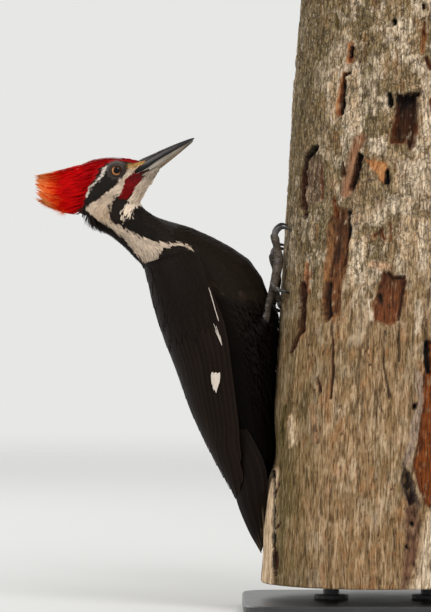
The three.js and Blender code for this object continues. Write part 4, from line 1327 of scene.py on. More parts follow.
def snapped(tree, places):
    """The nearest places on a surface, and the way out of it there."""
    found, outward = np.empty_like(places), np.empty_like(places)
    for i, place in enumerate(places.tolist()):
        hit, normal, _, _ = tree.find_nearest(place)
        found[i], outward[i] = hit, normal
    return found, outward


def scatter(spacing, wanted, seed):
    """Evenly strewn places on the skin, no two closer than a spacing, where a test allows them."""
    draw = np.random.default_rng(seed)
    a, b, c, d = (skin_points[hull_faces[:, i]] for i in range(4))
    middle = (a + b + c + d) / 4
    use = np.flatnonzero(wanted(middle))
    area = np.linalg.norm(np.cross(c[use] - a[use], d[use] - b[use]), axis=1) / 2
    tries = int(area.sum() / spacing**2 * TRIES)
    pick = use[draw.choice(len(use), tries, p=area / area.sum())]
    u, v = draw.random((2, tries, 1))
    places = (a[pick] * (1 - u) + b[pick] * u) * (1 - v) + (d[pick] * (1 - u) + c[pick] * u) * v
    cells = np.floor(places / spacing).astype(int)
    shifts = [(a, b, c) for a in (-1, 0, 1) for b in (-1, 0, 1) for c in (-1, 0, 1)]
    taken, kept = {}, []
    for i, ((x, y, z), place) in enumerate(zip(cells.tolist(), places.tolist())):
        near = (taken.get((x + a, y + b, z + c), ()) for a, b, c in shifts)
        gaps = (sum((p - q) ** 2 for p, q in zip(place, other)) for cell in near for other in cell)
        if all(gap >= spacing**2 for gap in gaps):
            taken.setdefault((x, y, z), []).append(place)
            kept.append(i)
    return places[kept]


def vanes(top, outward, thick, colour, home, span):
    """Closed thin vanes. top is feathers by stations by columns of points, outward the way out
    at each, thick their thickness, home each feather's place on the flat map, span its length."""
    count, stations, columns, _ = top.shape
    middle = columns // 2
    keel = top[:, :, middle] - outward[:, :, middle] * thick[..., None]
    ring = np.concatenate([top, keel[:, :, None]], axis=2)
    width = columns + 1
    ids = np.arange(count * stations * width).reshape(count, stations, width)
    turned = np.roll(ids, -1, axis=2)
    quads = np.stack([ids[:, :-1], turned[:, :-1], turned[:, 1:], ids[:, 1:]], -1).reshape(-1, 4)
    fans = []
    for k in range(1, width - 1):
        fans.append(np.stack([ids[:, 0, 0], ids[:, 0, k], ids[:, 0, k + 1]], -1))
        fans.append(np.stack([ids[:, -1, 0], ids[:, -1, k + 1], ids[:, -1, k]], -1))
    across = np.append(np.linspace(-1, 1, columns), 0)
    across = np.broadcast_to(across, (count, stations, width))
    along = np.broadcast_to(np.linspace(0, 1, stations)[None, :, None], across.shape)
    flat = home[:, None, None] + PATCH * np.stack([0.5 * across, along - 0.5], -1)
    own = np.broadcast_to(home[:, 0, None, None] * 977 % 1, across.shape)
    vane = np.stack([across, along * span[:, None, None], own], -1)
    # One colour to each feather, or one to each point of it.
    colour = colour if colour.ndim == 4 else colour[:, None, None]
    colour = np.broadcast_to(colour, ring.shape)
    return {
        "points": ring.reshape(-1, 3),
        "quads": quads,
        "fans": np.concatenate(fans),
        "colour": colour.reshape(-1, 3),
        "flat": flat.reshape(-1, 2),
        "vane": vane.reshape(-1, 3),
    }


def coat_piece(name, batches, material):
    """One mesh of many feathers, with their colours, their flat map and each one's own frame."""
    points, quads, fans = joined([(b["points"], b["quads"], b["fans"]) for b in batches])
    colour, vane, flat = (
        np.vstack([batch[key] for batch in batches]) for key in ("colour", "vane", "flat")
    )
    piece = shape(name, points * MM, quads, fans, material=material)
    piece.data.set_sharp_from_angle(angle=1.0)
    paint_points(piece, "Coat", colour)
    mark_points(piece, "Vane", vane)
    corners = np.concatenate([quads.ravel(), fans.ravel()])
    uv = piece.data.uv_layers.new(name="OFBake")
    uv.data.foreach_set("uv", flat[corners].astype(np.float32).ravel())
    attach(piece, "root")
    return piece


def plume_finish(name, rough, gloss, edge, edge_share, barb, mottle=1.0):
    """Feather keratin: each feather's own colour, paler and browner at its edges, fine barbs."""
    material, place = finish(name, Specular_IOR_Level=gloss)
    vane = place.painted("Vane", out=1)
    across, along, own = (vane.part(i) for i in range(3))
    out = across.node("ShaderNodeMath", {"operation": "ABSOLUTE"}, {0: across})
    sockets = {0: across * 1.5, 1: (along - out * 1.2) * barb, 2: own * 60}
    barbs = across.node("ShaderNodeCombineXYZ", {}, sockets).noise(1.0, 3.0, 0.6)
    ribbed = barbs.step(0.45, 0.75) * mottle
    toned = place.painted("Coat").mixed((0.72, 0.70, 0.69, 1), ribbed, "MULTIPLY")
    toned = toned.mixed((0.82, 0.82, 0.82, 1), own.step(0.1, 0.9) * mottle, "MULTIPLY")
    toned.mixed(edge, out.step(0.55, 1.0) * barbs.step(0.2, 0.8) * edge_share).feed("Base Color")
    (rough - 0.08 + 0.2 * barbs).feed("Roughness")
    barbs.emboss(0.3, 0.0003)
    return material


feather_black = plume_finish("feather_black", 0.5, 0.03, (0.016, 0.011, 0.008, 1), 0.10, 1.6, 0.5)
feather_face = plume_finish("feather_face", 0.6, 0.08, (0.45, 0.38, 0.32, 1), 0.03, 3.0)
feather_red = plume_finish("feather_red", 0.5, 0.02, (0.50, 0.012, 0.008, 1), 0.15, 1.4, 0.6)


def laid(roots, length, half, lift, seed, stations=4, stray=0.1, blunt=0.9, sink=0.3, camber=0.14,
         tree=skin_tree):
    """Vanes from roots on a surface, following the lie of the plumage over it. lift is how high
    the tip stands and sink how deep the root is. They bow across by camber, and their headings
    stray. blunt is how round their tips are."""
    draw = np.random.default_rng(seed)
    count = len(roots)
    length = length * draw.uniform(0.85, 1.15, count)
    half = half * draw.uniform(0.88, 1.12, count)
    centre, outward = snapped(tree, roots)
    way = lie_at(centre, outward)
    wide = np.cross(way, outward)
    turn = draw.normal(0, stray, count)[:, None]
    way = unit(way + wide * turn)
    centres, ways, outs = [centre], [way], [outward]
    for _ in range(stations - 1):
        ahead = centres[-1] + ways[-1] * (length / (stations - 1))[:, None]
        centre, outward = snapped(tree, ahead)
        follow = lie_at(centre, outward)
        way = ways[-1] - outward * (ways[-1] * outward).sum(-1, keepdims=True)
        way = unit(0.6 * unit(way) + 0.4 * (follow + np.cross(follow, outward) * turn))
        centres.append(centre)
        ways.append(way)
        outs.append(outward)
    centres, ways, outs = (np.stack(a, 1) for a in (centres, ways, outs))
    side = unit(np.cross(ways, outs))
    t = np.linspace(0, 1, stations)
    body = np.minimum(1, 0.42 + 1.5 * t) * np.clip(1 - t**4, 0, 1) ** blunt
    body = np.maximum(body, 0.03)
    widths = half[:, None] * body
    across = np.array([-1.0, 0.0, 1.0])
    spread = centres[:, :, None] + side[:, :, None] * (widths[..., None] * across)[..., None]
    flat, outward = snapped(tree, spread.reshape(-1, 3))
    flat = flat.reshape(spread.shape)
    outward = unit(0.5 * outward.reshape(spread.shape) + 0.5 * outs[:, :, None])
    height = lift[:, None] * t**1.15 * draw.uniform(0.75, 1.25, count)[:, None]
    height = height - sink * (1 - t) ** 2
    raised = height[..., None] + camber * widths[..., None] * (1 - across**2)
    top = flat + outward * raised[..., None]
    thick = 0.06 + 0.16 * body * np.minimum(half, 1)[:, None]
    return top, outward, thick, length, ways


def coated(roots, length, half, lift, seed, vary=0.28, **rest):
    """A batch of such vanes in the colours of the markings, some darker by up to vary."""
    top, outward, thick, span, ways = laid(roots, length, half, lift, seed, **rest)
    draw = np.random.default_rng(seed + 5)
    tone = 1 - vary * draw.random((len(roots), 1)) ** 2
    # Each takes the colour of the place half way down it, where it shows. Stray feathers cross
    # the borders of the markings, most of all round the end of the malar.
    x, _, z = roots.T
    stray = 0.35 + 1.5 * np.exp(-((x + 235) ** 2 + (z - 344) ** 2) / 160)
    stray += 0.5 * np.exp(-((x + 215) ** 2 + (z - 318) ** 2) / 300)
    visible = roots + ways[:, 0] * (0.5 * span)[:, None]
    visible = visible + draw.normal(0, 1, roots.shape) * stray[:, None]
    return vanes(top, outward, thick, markings(visible) * tone, flat_place(roots), span)


# Where the eyes, the bill and the wings leave no room for contour feathers.
WING_EDGE = [
    (-209, 300), (-203.2, 310), (-191.2, 315), (-180, 313.5), (-171.5, 305), (-165.5, 290),
    (-158.5, 268), (-151.6, 244), (-147, 215), (-142.5, 180), (-136.5, 140), (-133.5, 112),
    (-137.5, 95),
]
WING_OUTSIDE = [(-160, 90), (-235, 172), (-235, 300)]
MANTLE = [(0, 208), (11, 222), (19, 243), (24, 270), (26, 330)]


def under_wing(places, margin):
    """Whether places are hidden by a closed wing, by more than a margin."""
    x, y, z = places.T
    inside = gap_to(x, z, WING_EDGE + WING_OUTSIDE) < -margin
    mantle = np.interp(z, [p[1] for p in MANTLE], [p[0] for p in MANTLE])
    return inside & (np.abs(y) > mantle + margin)


def clear_of_face(places):
    """Whether places are clear of the eyes and of the bill's root."""
    x, y, z = places.T
    eye_gap = np.hypot(x - EYE[0], z - EYE[1])
    forwards = (x - EYE[0]) * cos(HEAD_PITCH) + (z - EYE[1]) * sin(HEAD_PITCH)
    up = -(x - EYE[0]) * sin(HEAD_PITCH) + (z - EYE[1]) * cos(HEAD_PITCH)
    bill = ((forwards > 19.5) & (up > -14)) | ((gap_to(x, z, BILL_ROOT) < 0.3) & (up < -1.5))
    return ((eye_gap > 6.6) | (np.abs(y) < 9)) & ~bill


def face_away(places):
    """How far places lie from the middle of the head, seen from the side."""
    return np.hypot(places[:, 0] + 238, places[:, 2] - 370)


def on_crown(places):
    x, _, z = places.T
    return (gap_to(x, z, CAP) < 0.5) & (crown_gap(places) < 6) & clear_of_face(places) & (z > 340)


def on_cheek(places):
    x, _, z = places.T
    near = (face_away(places) < 33) & (z > 340) & (gap_to(x, z, CAP) > -1.5)
    return near & clear_of_face(places)


for name, wanted, spacing, seed, finish_used, slot in (
    ("coat_crown", on_crown, 0.85, 1001, feather_red, "feather_red"),
    ("coat_cheek", on_cheek, 0.72, 1011, feather_face, "feather_face"),
):
    roots = scatter(spacing, wanted, seed)
    away = np.hypot(roots[:, 0] + 226, roots[:, 2] - 382)
    eye_gap = np.hypot(roots[:, 0] - EYE[0], roots[:, 2] - EYE[1])
    length = 2.8 + 3.4 * rise(away, 8, 36)
    length = np.where(np.abs(roots[:, 1]) > 9, np.minimum(length, 0.9 + 0.25 * eye_gap), length)
    half = 0.24 + 0.10 * length
    batch = coated(roots, length, half, 0.12 + 0.05 * length, seed + 1, stray=0.12, sink=0.2)
    coat_piece(name, [batch], finish_used)

# Bristly tufts over the root of the bill, pointing forwards, and small feathers at its corners.
points, quads = joined([(skin_points, hull_faces)] + bill_meshes)
bill_tree = BVHTree.FromPolygons(points.tolist(), quads.tolist())
BRISTLE_SPACING = 0.6
BEYOND = 40.0  # farther out than the head reaches


def outside(x, z, side):
    """How far out the face and bill reach on a side, where a side view shows them."""
    down = Vector((0, -side, 0))
    starts = [Vector((a, side * BEYOND, b)) for a, b in zip(x, z)]
    hits = [bill_tree.ray_cast(start, down, BEYOND)[0] for start in starts]
    return np.array([0.6 if hit is None else abs(hit[1]) for hit in hits])


def bridged(outline, heading, reach, half, bulge, colour, darkest, seed):
    """Strands that run from the face out over the bill's root, their tips inside an outline.
    heading is their climb in degrees, reach their length and bulge how far they bow outwards.
    colour is that above a height, that below it and the height, darkest how deep tones go."""
    draw = np.random.default_rng(seed)
    low, high = np.min(outline, 0), np.max(outline, 0)
    lines = (np.arange(start, end, BRISTLE_SPACING) for start, end in zip(low, high))
    tip_x, tip_z = (
        grid + draw.uniform(-0.5, 0.5, grid.shape) * BRISTLE_SPACING for grid in np.meshgrid(*lines)
    )
    use = gap_to(tip_x, tip_z, outline) < 0
    tip_x, tip_z = tip_x[use], tip_z[use]
    count = len(tip_x)
    climb = np.radians(heading + draw.normal(0, 6, count))
    run = reach * draw.uniform(0.8, 1.2, count)
    root_x, root_z = tip_x - run * np.cos(climb), tip_z - run * np.sin(climb)
    t = np.linspace(0, 1, 5)[None]
    ease = t * t * (3 - 2 * t)
    batches = []
    for side in SIDES.values():
        root_y, tip_y = outside(root_x, root_z, side), outside(tip_x, tip_z, side)
        over = 0.25 + bulge * draw.uniform(0.5, 1.2, count)[:, None] * np.sin(pi * t**0.8) + 0.5 * t
        y = root_y[:, None] + (tip_y - root_y)[:, None] * ease + over
        x = root_x[:, None] + (tip_x - root_x)[:, None] * t
        z = root_z[:, None] + (tip_z - root_z)[:, None] * t
        centre = np.stack([x, side * y, z], -1)
        ways = unit(np.gradient(centre, axis=1))
        outward = unit(np.array([0, side, 0]) - ways * ways[..., 1:2] * side)
        width = np.cross(ways, outward)
        taper = half * np.array([0.6, 1.0, 0.95, 0.6, 0.08])
        taper = taper * draw.uniform(0.8, 1.2, count)[:, None]
        spread = width[:, :, None] * (taper[..., None] * [-1, 0, 1])[..., None]
        bow = outward[:, :, None] * (0.2 * taper[..., None] * [0, 1, 0])[..., None]
        top = centre[:, :, None] + spread + bow
        tone = draw.uniform(darkest, 1.1, (count, 1))
        home = flat_place(centre[:, 0])
        outs = np.broadcast_to(outward[:, :, None], top.shape)
        shade = taken_to(colour[0], colour[1], rise(colour[2] - tip_z, -3.5, 3.5))
        batches.append(vanes(top, outs, 0.08 + 0.2 * taper, shade * tone, home, run))
    return batches


# Where the tips fall, their climb, length, half width, bow and colour. Nasal tufts reach farthest
# forward over the ridge, and the chin's run out under the lower half.
FOREHEAD_TIPS = [(-232, 387), (-221, 386), (-220.4, 387.4), (-225.7, 388.6), (-232, 389.6)]
NASAL_TIPS = [
    (-227, 380), (-223.6, 379.8), (-220, 384), (-213.8, 388.7), (-219, 387.8), (-225.6, 386.4),
]
GAPE_TIPS = [(-231.5, 376), (-227.4, 376.6), (-224.2, 379.8), (-225.6, 382), (-229, 380)]
MALAR_TIPS = [
    (-230, 374), (-225.6, 376.8), (-217.2, 379.2), (-216, 375.8), (-220, 370), (-228, 365),
]
CORNER_TIPS = [(-218, 379.6), (-212, 381.4), (-211.6, 378.8), (-216.4, 374.6)]
CHIN_TIPS = [
    (-214.6, 378.6), (-208, 381.4), (-201.4, 384.2), (-203.8, 379.6), (-207.4, 373.8), (-212, 370),
    (-216.4, 374),
]
THROAT_TIPS = [
    (-207.4, 373.6), (-213.2, 365.6), (-217.6, 358.1), (-220.2, 354), (-226, 358), (-219, 371),
    (-214, 375),
]
GAPE_SHADOW, DUST = tint("#3b2a20"), tint("#a59685")
bristles = []
for rule in (
    (FOREHEAD_TIPS, -9, 5.0, 0.40, 0.1, (RED, RED, 380), 0.7, 1341),
    (NASAL_TIPS, 30, 5.6, 0.28, 0.45, (1.05 * BUFF, 0.95 * CREAM, 383), 0.5, 1301),
    (GAPE_TIPS, 40, 5.0, 0.30, 0.4, (0.5 * BUFF + 0.5 * CREAM, CREAM, 380.5), 0.55, 1311),
    (MALAR_TIPS, 44, 6.0, 0.40, 0.45, (0.6 * MALAR, MALAR, 373), 0.5, 1331),
    # dark strands at the corner of the gape: painted shadow under the bill
    (CORNER_TIPS, 40, 3.8, 0.34, 0.55, (GAPE_SHADOW, GAPE_SHADOW, 380), 0.35, 1351),
    (CHIN_TIPS, 46, 6.0, 0.34, 0.4, (DUST, 0.9 * CREAM, 373), 0.4, 1321),
    (THROAT_TIPS, 50, 7.0, 0.38, 0.4, (0.95 * CREAM, CREAM, 366), 0.5, 1361),
):
    bristles += bridged(*rule)
coat_piece("face_bristles", bristles, feather_face)


def shoulder_arc(places):
    """Whether places are on or near the white arc over the folded wing."""
    x, _, z = places.T
    return (gap_to(x, z, STRIPE) < 3) & (x >= -190) & (z > 296) & ~under_wing(places, 3)


def on_neck(places):
    x, _, z = places.T
    nape_line = 3 + 7 * rise(350 - z, 0, 4)
    neck = (face_away(places) > 29) & (x + 0.9 * z < 95) & (x < -190) & (z > 285)
    return (neck & (crown_gap(places) < nape_line)) | shoulder_arc(places)


roots = scatter(1.3, on_neck, 1101)
coarse = rise(np.hypot(roots[:, 0] + 238, roots[:, 2] - 365), 24, 70)
length = 6.0 + 5.0 * coarse - 4.0 * rise(roots[:, 0], -198, -188)


def breast_lift(places):
    """How much higher the feathers stand along the line of the throat and breast."""
    x = places[:, 0]
    along = rise(x, -217, -208) * rise(-x, 130, 145)
    return (0.4 - 0.4 * rise(x, -192, -178)) * rise(above_breast(places), -16, -6) * along


half, lift = 0.35 + 0.075 * length, 0.2 + 0.045 * length + breast_lift(roots)
neck_batch = coated(roots, length, half, lift, 1102, stations=5, stray=0.12, blunt=0.8)
# Loose black feathers hang off the nape below the crest.
x, y, z = roots.T
nape = roots[(x + 1.16 * z < 137) & (np.abs(y) < 10) & (z > 300) & (x > -267.5)]
high = rise(nape[:, 2], 326, 341)
corner = rise(nape[:, 2], 332, 338)
lift = 1.3 + 4.6 * high * np.random.default_rng(1113).uniform(0.4, 1.0, len(nape)) + 0.4 * corner
length, half = 6.0 + 3.0 * high, 0.62 + 0 * high
top, outward, thick, span, _ = laid(nape, length, half, lift, 1112, stations=5, stray=0.2)
ruff = vanes(top, outward, thick, BLACK + 0 * nape, flat_place(nape), span)
coat_piece("coat_neck", [neck_batch, ruff], feather_face)


def on_body(places):
    x, _, z = places.T
    body = ((x + 0.9 * z >= 90) | (x >= -190)) & (face_away(places) > 60) & (z > 104)
    back = (x < -190) & (z <= 290)
    return ((body & ~shoulder_arc(places)) | back) & ~under_wing(places, 6)


roots = scatter(2.0, on_body, 1201)
low = rise(235 - roots[:, 2], 0, 60)
# On the belly and under the tail they stand off, pressed against the trunk.
front = rise(roots[:, 0] + 0.3 * (roots[:, 2] - 200), -130, -112)
front = np.maximum(front, rise(roots[:, 0], -121, -112) * rise(162 - roots[:, 2], 0, 14))
loose = rise(284 - roots[:, 2], 0, 14) * front
length = 13 + 5 * low
ragged = np.random.default_rng(1203).random(len(roots)) ** 1.5
under_tail = hump(roots[:, 2], 150, 18) + 0.6 * rise(140 - roots[:, 2], 0, 10)
lift = 0.45 + 0.1 * low + loose * (3.8 + 1.2 * ragged + 1.6 * under_tail) + breast_lift(roots)
half = 2.4 - 0.8 * loose
belly = (roots[:, 0] + 0.45 * (roots[:, 2] - 200) > -140)
for name, chosen in (("coat_back", ~belly), ("coat_breast", belly)):
    batch = coated(
        roots[chosen], length[chosen], half[chosen], lift[chosen], 1202, stations=5, stray=0.06,
        blunt=0.8, camber=0.03, vary=0.14,
    )
    coat_piece(name, [batch], feather_black)

# ---- Crest: long soft red feathers swept back from the crown in pointed locks ----
# Deep red at the root, with frayed orange tips at the far end. Each strand is a thin closed
# barb bundle. A cover of strands lies over the crown, and longer ones fan out at the tips.
CREST_ROWS = [
    (-246, 390, -252, 345, 15.5), (-262, 388.2, -265, 339.4, 13), (-278, 384.2, -279, 340.6, 9.2),
    (-293, 380.2, -290.5, 343.9, 6.6), (-304, 377.4, -302, 349.4, 4.8),
    (-313, 375.4, -312.5, 357.5, 3.4),
]
LOCKS = 400
FRINGE = 70
STRANDS = 8
CREST_STATIONS = 7


def oval_at(rows, along, angle, share=1):
    """A place on a body of oval rows, each the x and z of its back and of its underside and its
    half width: how far along, which way round, and how far out from its middle."""
    back_x, back_z, under_x, under_z, half = np.moveaxis(flowing(rows, along), -1, 0)
    up = np.sign(np.cos(angle)) * np.abs(np.cos(angle)) ** 0.92 * share
    out = np.sign(np.sin(angle)) * np.abs(np.sin(angle)) ** 0.92 * share
    x = (back_x + under_x) / 2 + (back_x - under_x) / 2 * up
    z = (back_z + under_z) / 2 + (back_z - under_z) / 2 * up
    return np.stack([x, half * out, z], -1)


def crest_colour(places, tone, edge, under=0.0):
    """Deep red, then bright, then orange towards the far end. tone is each strand's own, edge how
    near it is to the outline, where more orange is painted as back light glowing through, and
    under how far it hangs below, where the tips are palest and are painted brighter as light to
    make up for the shade there."""
    far = -places[..., 0] + 15 * (tone - 0.5) + 22 * edge + 7 * under
    colour = np.ones(far.shape + (3,)) * tint("#950206")
    for start, end, paint, amount in (
        (262, 290, "#bd0707", 0.9), (292, 305, "#ea5018", 0.95), (302, 315, "#f9a45c", 0.9),
    ):
        colour = taken_to(colour, paint, amount * rise(far, start, end))
    colour = colour * ((0.84 + 0.24 * tone) * (1 + 0.75 * under))[..., None]
    return colour / np.maximum(colour.max(-1, keepdims=True) / 0.95, 1)


draw = np.random.default_rng(2001)
lock_start = draw.uniform(1.2, 3.9, LOCKS)
lock_angle = draw.uniform(0, tau, LOCKS)
lock_run = draw.uniform(1.3, 2.1, LOCKS)
farthest = 5.0 - 0.5 * rise(-np.cos(lock_angle), -0.2, 0.9)
low_lock = np.cos(lock_angle) < -0.5
lock_start = np.where(low_lock, np.maximum(lock_start, 1.75), lock_start)
lock_end = np.minimum(lock_start + lock_run, farthest - 1.1 * draw.random(LOCKS) ** 0.8)
lock_depth = draw.choice([0.97, 0.94, 0.86, 0.6], LOCKS, p=[0.4, 0.25, 0.2, 0.15])
lock_drift = draw.normal(0, 0.05, LOCKS)
# The last of them make the ragged fringe: they leave the outline below, above and at the end.
fringe = np.arange(LOCKS) >= LOCKS - FRINGE
lock_angle[fringe] = np.where(draw.random(FRINGE) < 0.62, pi, 0) + draw.normal(0, 0.3, FRINGE)
lock_start[fringe] = draw.uniform(1.8, 4.0, FRINGE)
lock_end[fringe] = np.minimum(lock_start[fringe] + draw.uniform(0.7, 1.1, FRINGE), 4.95)
lock_depth[fringe] = 0.84
flare = np.where(fringe, 0.06 + 0.36 * draw.random(LOCKS) ** 2, 0)
flare = flare * np.where(np.cos(lock_angle) < 0, 1, 0.5)
lock_tone = draw.uniform(0, 1, LOCKS)


def per_strand(values, spread):
    """Each lock's value for its strands, a little spread."""
    return np.repeat(values, STRANDS) + draw.normal(0, spread, LOCKS * STRANDS)


root_s, root_a = per_strand(lock_start, 0.14), per_strand(lock_angle, 0.16)
end_s, end_a = per_strand(lock_end, 0.17), per_strand(lock_angle + lock_drift, 0.03)
end_s = np.where(end_s > 4.85, 4.95 - 0.7 * draw.random(len(end_s)) ** 1.3, end_s)
depth_share = np.repeat(lock_depth, STRANDS)
t = np.linspace(0, 1, CREST_STATIONS)[None]
along = root_s[:, None] + (end_s - root_s)[:, None] * t
angle = root_a[:, None] + (end_a - root_a)[:, None] * t
share = depth_share[:, None] * (0.80 + 0.20 * t**0.5) + np.repeat(flare, STRANDS)[:, None] * t**1.2
centre, farther, nearer = (
    oval_at(CREST_ROWS, along, angle, share + shift) for shift in (0, 0.02, -0.02)
)
outward = unit(farther - nearer)
ways = unit(np.gradient(centre, axis=1))
side = unit(np.cross(ways, outward))
outward = np.cross(side, ways)
taper = np.array([0.5, 0.9, 1.0, 0.92, 0.7, 0.4, 0.05])[None]
half = 0.56 * taper * draw.uniform(0.8, 1.2, len(centre))[:, None]
across = np.linspace(-1, 1, 3)
top = centre[:, :, None] + side[:, :, None] * (half[..., None] * across)[..., None]
top = top + outward[:, :, None] * (0.2 * half[..., None] * (1 - across**2))[..., None]
tone = (0.65 * per_strand(lock_tone, 0.1) + 0.35 * draw.random(len(centre)))[:, None] + 0 * t
# Strands along the upper and lower outline are painted more orange, as back light glowing through
# them, and those hanging underneath are painted brighter, as light against their shade.
edge = 1.1 * rise(np.abs(np.cos(angle)), 0.88, 1.0) * rise(share, 0.85, 0.97)
under = rise(-np.cos(angle), 0.2, 0.9) * rise(share, 0.7, 0.92)
span = np.linalg.norm(np.diff(centre, axis=1), axis=2).sum(1)
near_tip = np.exp(-span[:, None] * (1 - t) / 3.5)
outward = np.broadcast_to(outward[:, :, None], top.shape)
colour = crest_colour(centre, tone, edge + 0.4 * near_tip, under)[:, :, None]
tips_batch = vanes(top, outward, 0.3 * half, colour, flat_place(centre[:, 0]), span)
coat_piece("crest_tips", [tips_batch], feather_red)


def on_crest(places):
    x, _, z = places.T
    return (gap_to(x, z, CAP) < -0.8) & (x < -229) & (x > -290) & clear_of_face(places) & (z > 338)


roots = scatter(1.5, on_crest, 2101)
draw = np.random.default_rng(2102)
back = rise(-roots[:, 0], 234, 270)
length = np.minimum(6 + 14 * back, 303 + roots[:, 0]) * draw.uniform(0.7, 1.15, len(roots))
stations = 6
top, outward, thick, span, _ = laid(
    roots, length, 0.42 + 0.20 * back, 0.15 + 0 * length, 2103, stations=stations, stray=0.07,
    sink=1.6, blunt=0.8, tree=hull_tree,
)
tone = draw.uniform(0, 1, (len(roots), 1)) + np.zeros((1, stations))
# Strands along the outline are painted more orange, as back light glowing through them.
edge = rise(11 - np.abs(top[:, :, 1, 1]), 6, 10) * rise(np.abs(top[:, :, 1, 2] - 364), 12, 18)
colour = crest_colour(top[:, :, 1], tone, edge * 0.6)[:, :, None]
cover_batch = vanes(top, outward, thick, colour, flat_place(roots), span)
coat_piece("crest_cover", [cover_batch], feather_red)

# ---- Wings: closed, each a roof of coverts over sixteen long quills that narrow to the tip ----
# The feathers lie on the shape of the folded wing. Every quill tucks its inner edge under its
# neighbour and shows its outer edge. White linings peep out along the leading edge.
WING_ROWS = [
    (-218.5, 304, -172, 328, 27), (-216.3, 297, -160, 322.5, 33), (-212.6, 282.1, -143, 314.8, 40),
    (-207.8, 261.4, -123.2, 301, 45), (-199.6, 235.6, -112, 276.9, 46.5),
    (-187.9, 204.7, -106.9, 242.5, 45), (-178.6, 177.2, -107, 206.4, 39.5),
    (-167.1, 151.4, -108.6, 172, 33), (-155.9, 129, -112, 142.8, 27),
    (-145.0, 109.2, -115.5, 115.2, 20.5), (-137.4, 96.4, -118.9, 101.5, 11),
]
SHEET_LENGTHS, SHEET_WIDTHS = 241, 49
QUILL_TIPS = [128, 149, 168, 180, 187, 193, 197, 201, 214, 226, 238, 248, 250.5, 247, 236, 218]

# The right wing spread flat: rows down its length, columns from the spine to the leading edge.
steps = np.linspace(0, len(WING_ROWS) - 1, SHEET_LENGTHS)
angles = np.linspace(0, pi, 181)
grid = oval_at(WING_ROWS, steps[:, None] + 0 * angles, 0 * steps[:, None] + angles) * [1, -1, 1]
beyond = gap_to(grid[..., 0], grid[..., 2], WING_EDGE + WING_OUTSIDE)
around = np.concatenate(
    [np.zeros((SHEET_LENGTHS, 1)), np.cumsum(np.linalg.norm(np.diff(grid, axis=1), axis=2), 1)], 1
)
# How far round from the spine the leading edge lies, evened out down the wing.
lead = np.array([row[max(np.argmax(gap > 0), 12)] for row, gap in zip(around, beyond)])
lead = np.convolve(np.pad(lead, 6, mode="edge"), np.ones(13) / 13, "valid")
columns_at = np.linspace(0, 1, SHEET_WIDTHS)
sheet = np.stack(
    [
        np.stack([np.interp(columns_at * reach, arc_row, row[:, i]) for i in range(3)], -1)
        for reach, arc_row, row in zip(lead, around, grid)
    ]
)
middle_line = sheet[:, SHEET_WIDTHS // 2]
sheet_run = np.concatenate([[0], np.cumsum(np.linalg.norm(np.diff(middle_line, axis=0), axis=1))])
down = np.gradient(sheet, axis=0)
over = np.gradient(sheet, axis=1)
sheet_out = unit(np.cross(over, down))
if (sheet_out[:, SHEET_WIDTHS // 2, 1] > 0).mean() > 0.5:
    sheet_out = -sheet_out


def on_wing(share, run):
    """The place and the way out on the right wing, a share across and a run down it in mm."""
    row = np.interp(run, sheet_run, np.arange(SHEET_LENGTHS))
    column = np.clip(share, 0, 1) * (SHEET_WIDTHS - 1)
    r = np.minimum(row.astype(int), SHEET_LENGTHS - 2)
    c = np.minimum(column.astype(int), SHEET_WIDTHS - 2)
    fr, fc = (row - r)[..., None], (column - c)[..., None]

    def read(table):
        near = table[r, c] * (1 - fc) + table[r, c + 1] * fc
        next_row = table[r + 1, c] * (1 - fc) + table[r + 1, c + 1] * fc
        return near * (1 - fr) + next_row * fr

    extra = (np.maximum(share - 1, 0) + np.minimum(share, 0))[..., None]
    width = np.interp(run, sheet_run, lead)[..., None]
    slope = unit(read(over))
    return read(sheet) + slope * extra * width, unit(read(sheet_out))


def wing_vanes(share, run, half, heights, seed, columns, point, thick):
    """Feathers on the right wing. share and run are feathers by stations; heights is how high
    the inner edge, the middle and the outer edge stand at the root and at the tip. point is how
    blunt the tips are."""
    draw = np.random.default_rng(seed)
    count, stations = share.shape
    t = np.linspace(0, 1, stations)[None]
    body = np.minimum(1, 0.5 + 2.2 * t) * np.clip(1 - t**5, 0, 1) ** point
    widths = np.maximum(half[:, None] * body, 0.12)
    across = np.linspace(-1, 1, columns)
    lead_here = np.interp(run, sheet_run, lead)
    spread = share[..., None] + widths[..., None] * across / lead_here[..., None]
    place, outward = on_wing(spread, np.broadcast_to(run[..., None], spread.shape))
    root_height, tip_height = (np.interp(across, [-1, 0, 1], end) for end in heights)
    height = root_height * (1 - t[..., None]) + tip_height * t[..., None]
    height = height * draw.uniform(0.9, 1.1, (count, 1, 1)) + 0.10 * (1 - np.abs(across)) ** 4
    top = place + outward * height[..., None]
    span = np.linalg.norm(np.diff(top[:, :, columns // 2], axis=1), axis=2).sum(1)
    return top, outward, np.full((count, stations), thick) * np.minimum(1, widths / 2), span


QUILLS = len(QUILL_TIPS)
QUILL_START = 66
INNER_QUILLS = 12  # these end one by one down the inner border, and the rest down the outer one
tips = np.array(QUILL_TIPS, float)
t = np.linspace(0, 1, 30)[None]
quill = np.arange(QUILLS)
run = QUILL_START + (tips[:, None] - QUILL_START) * t
inner_ended = np.interp(run, tips[:INNER_QUILLS] - 4, np.arange(INNER_QUILLS))
outer_ended = np.interp(run, [205, 222, 240, 251], [0, 1, 2, 3])
share = (quill[:, None] + 0.62 - inner_ended) / (QUILLS - inner_ended - outer_ended)
share = np.clip(share, 0.03, 0.985)
half = np.full(QUILLS, 6.2)
flight = wing_vanes(share, run, half, ((-0.2, 0.15, 0.45), (-0.2, 0.15, 0.4)), 3001, 7, 0.5, 0.35)


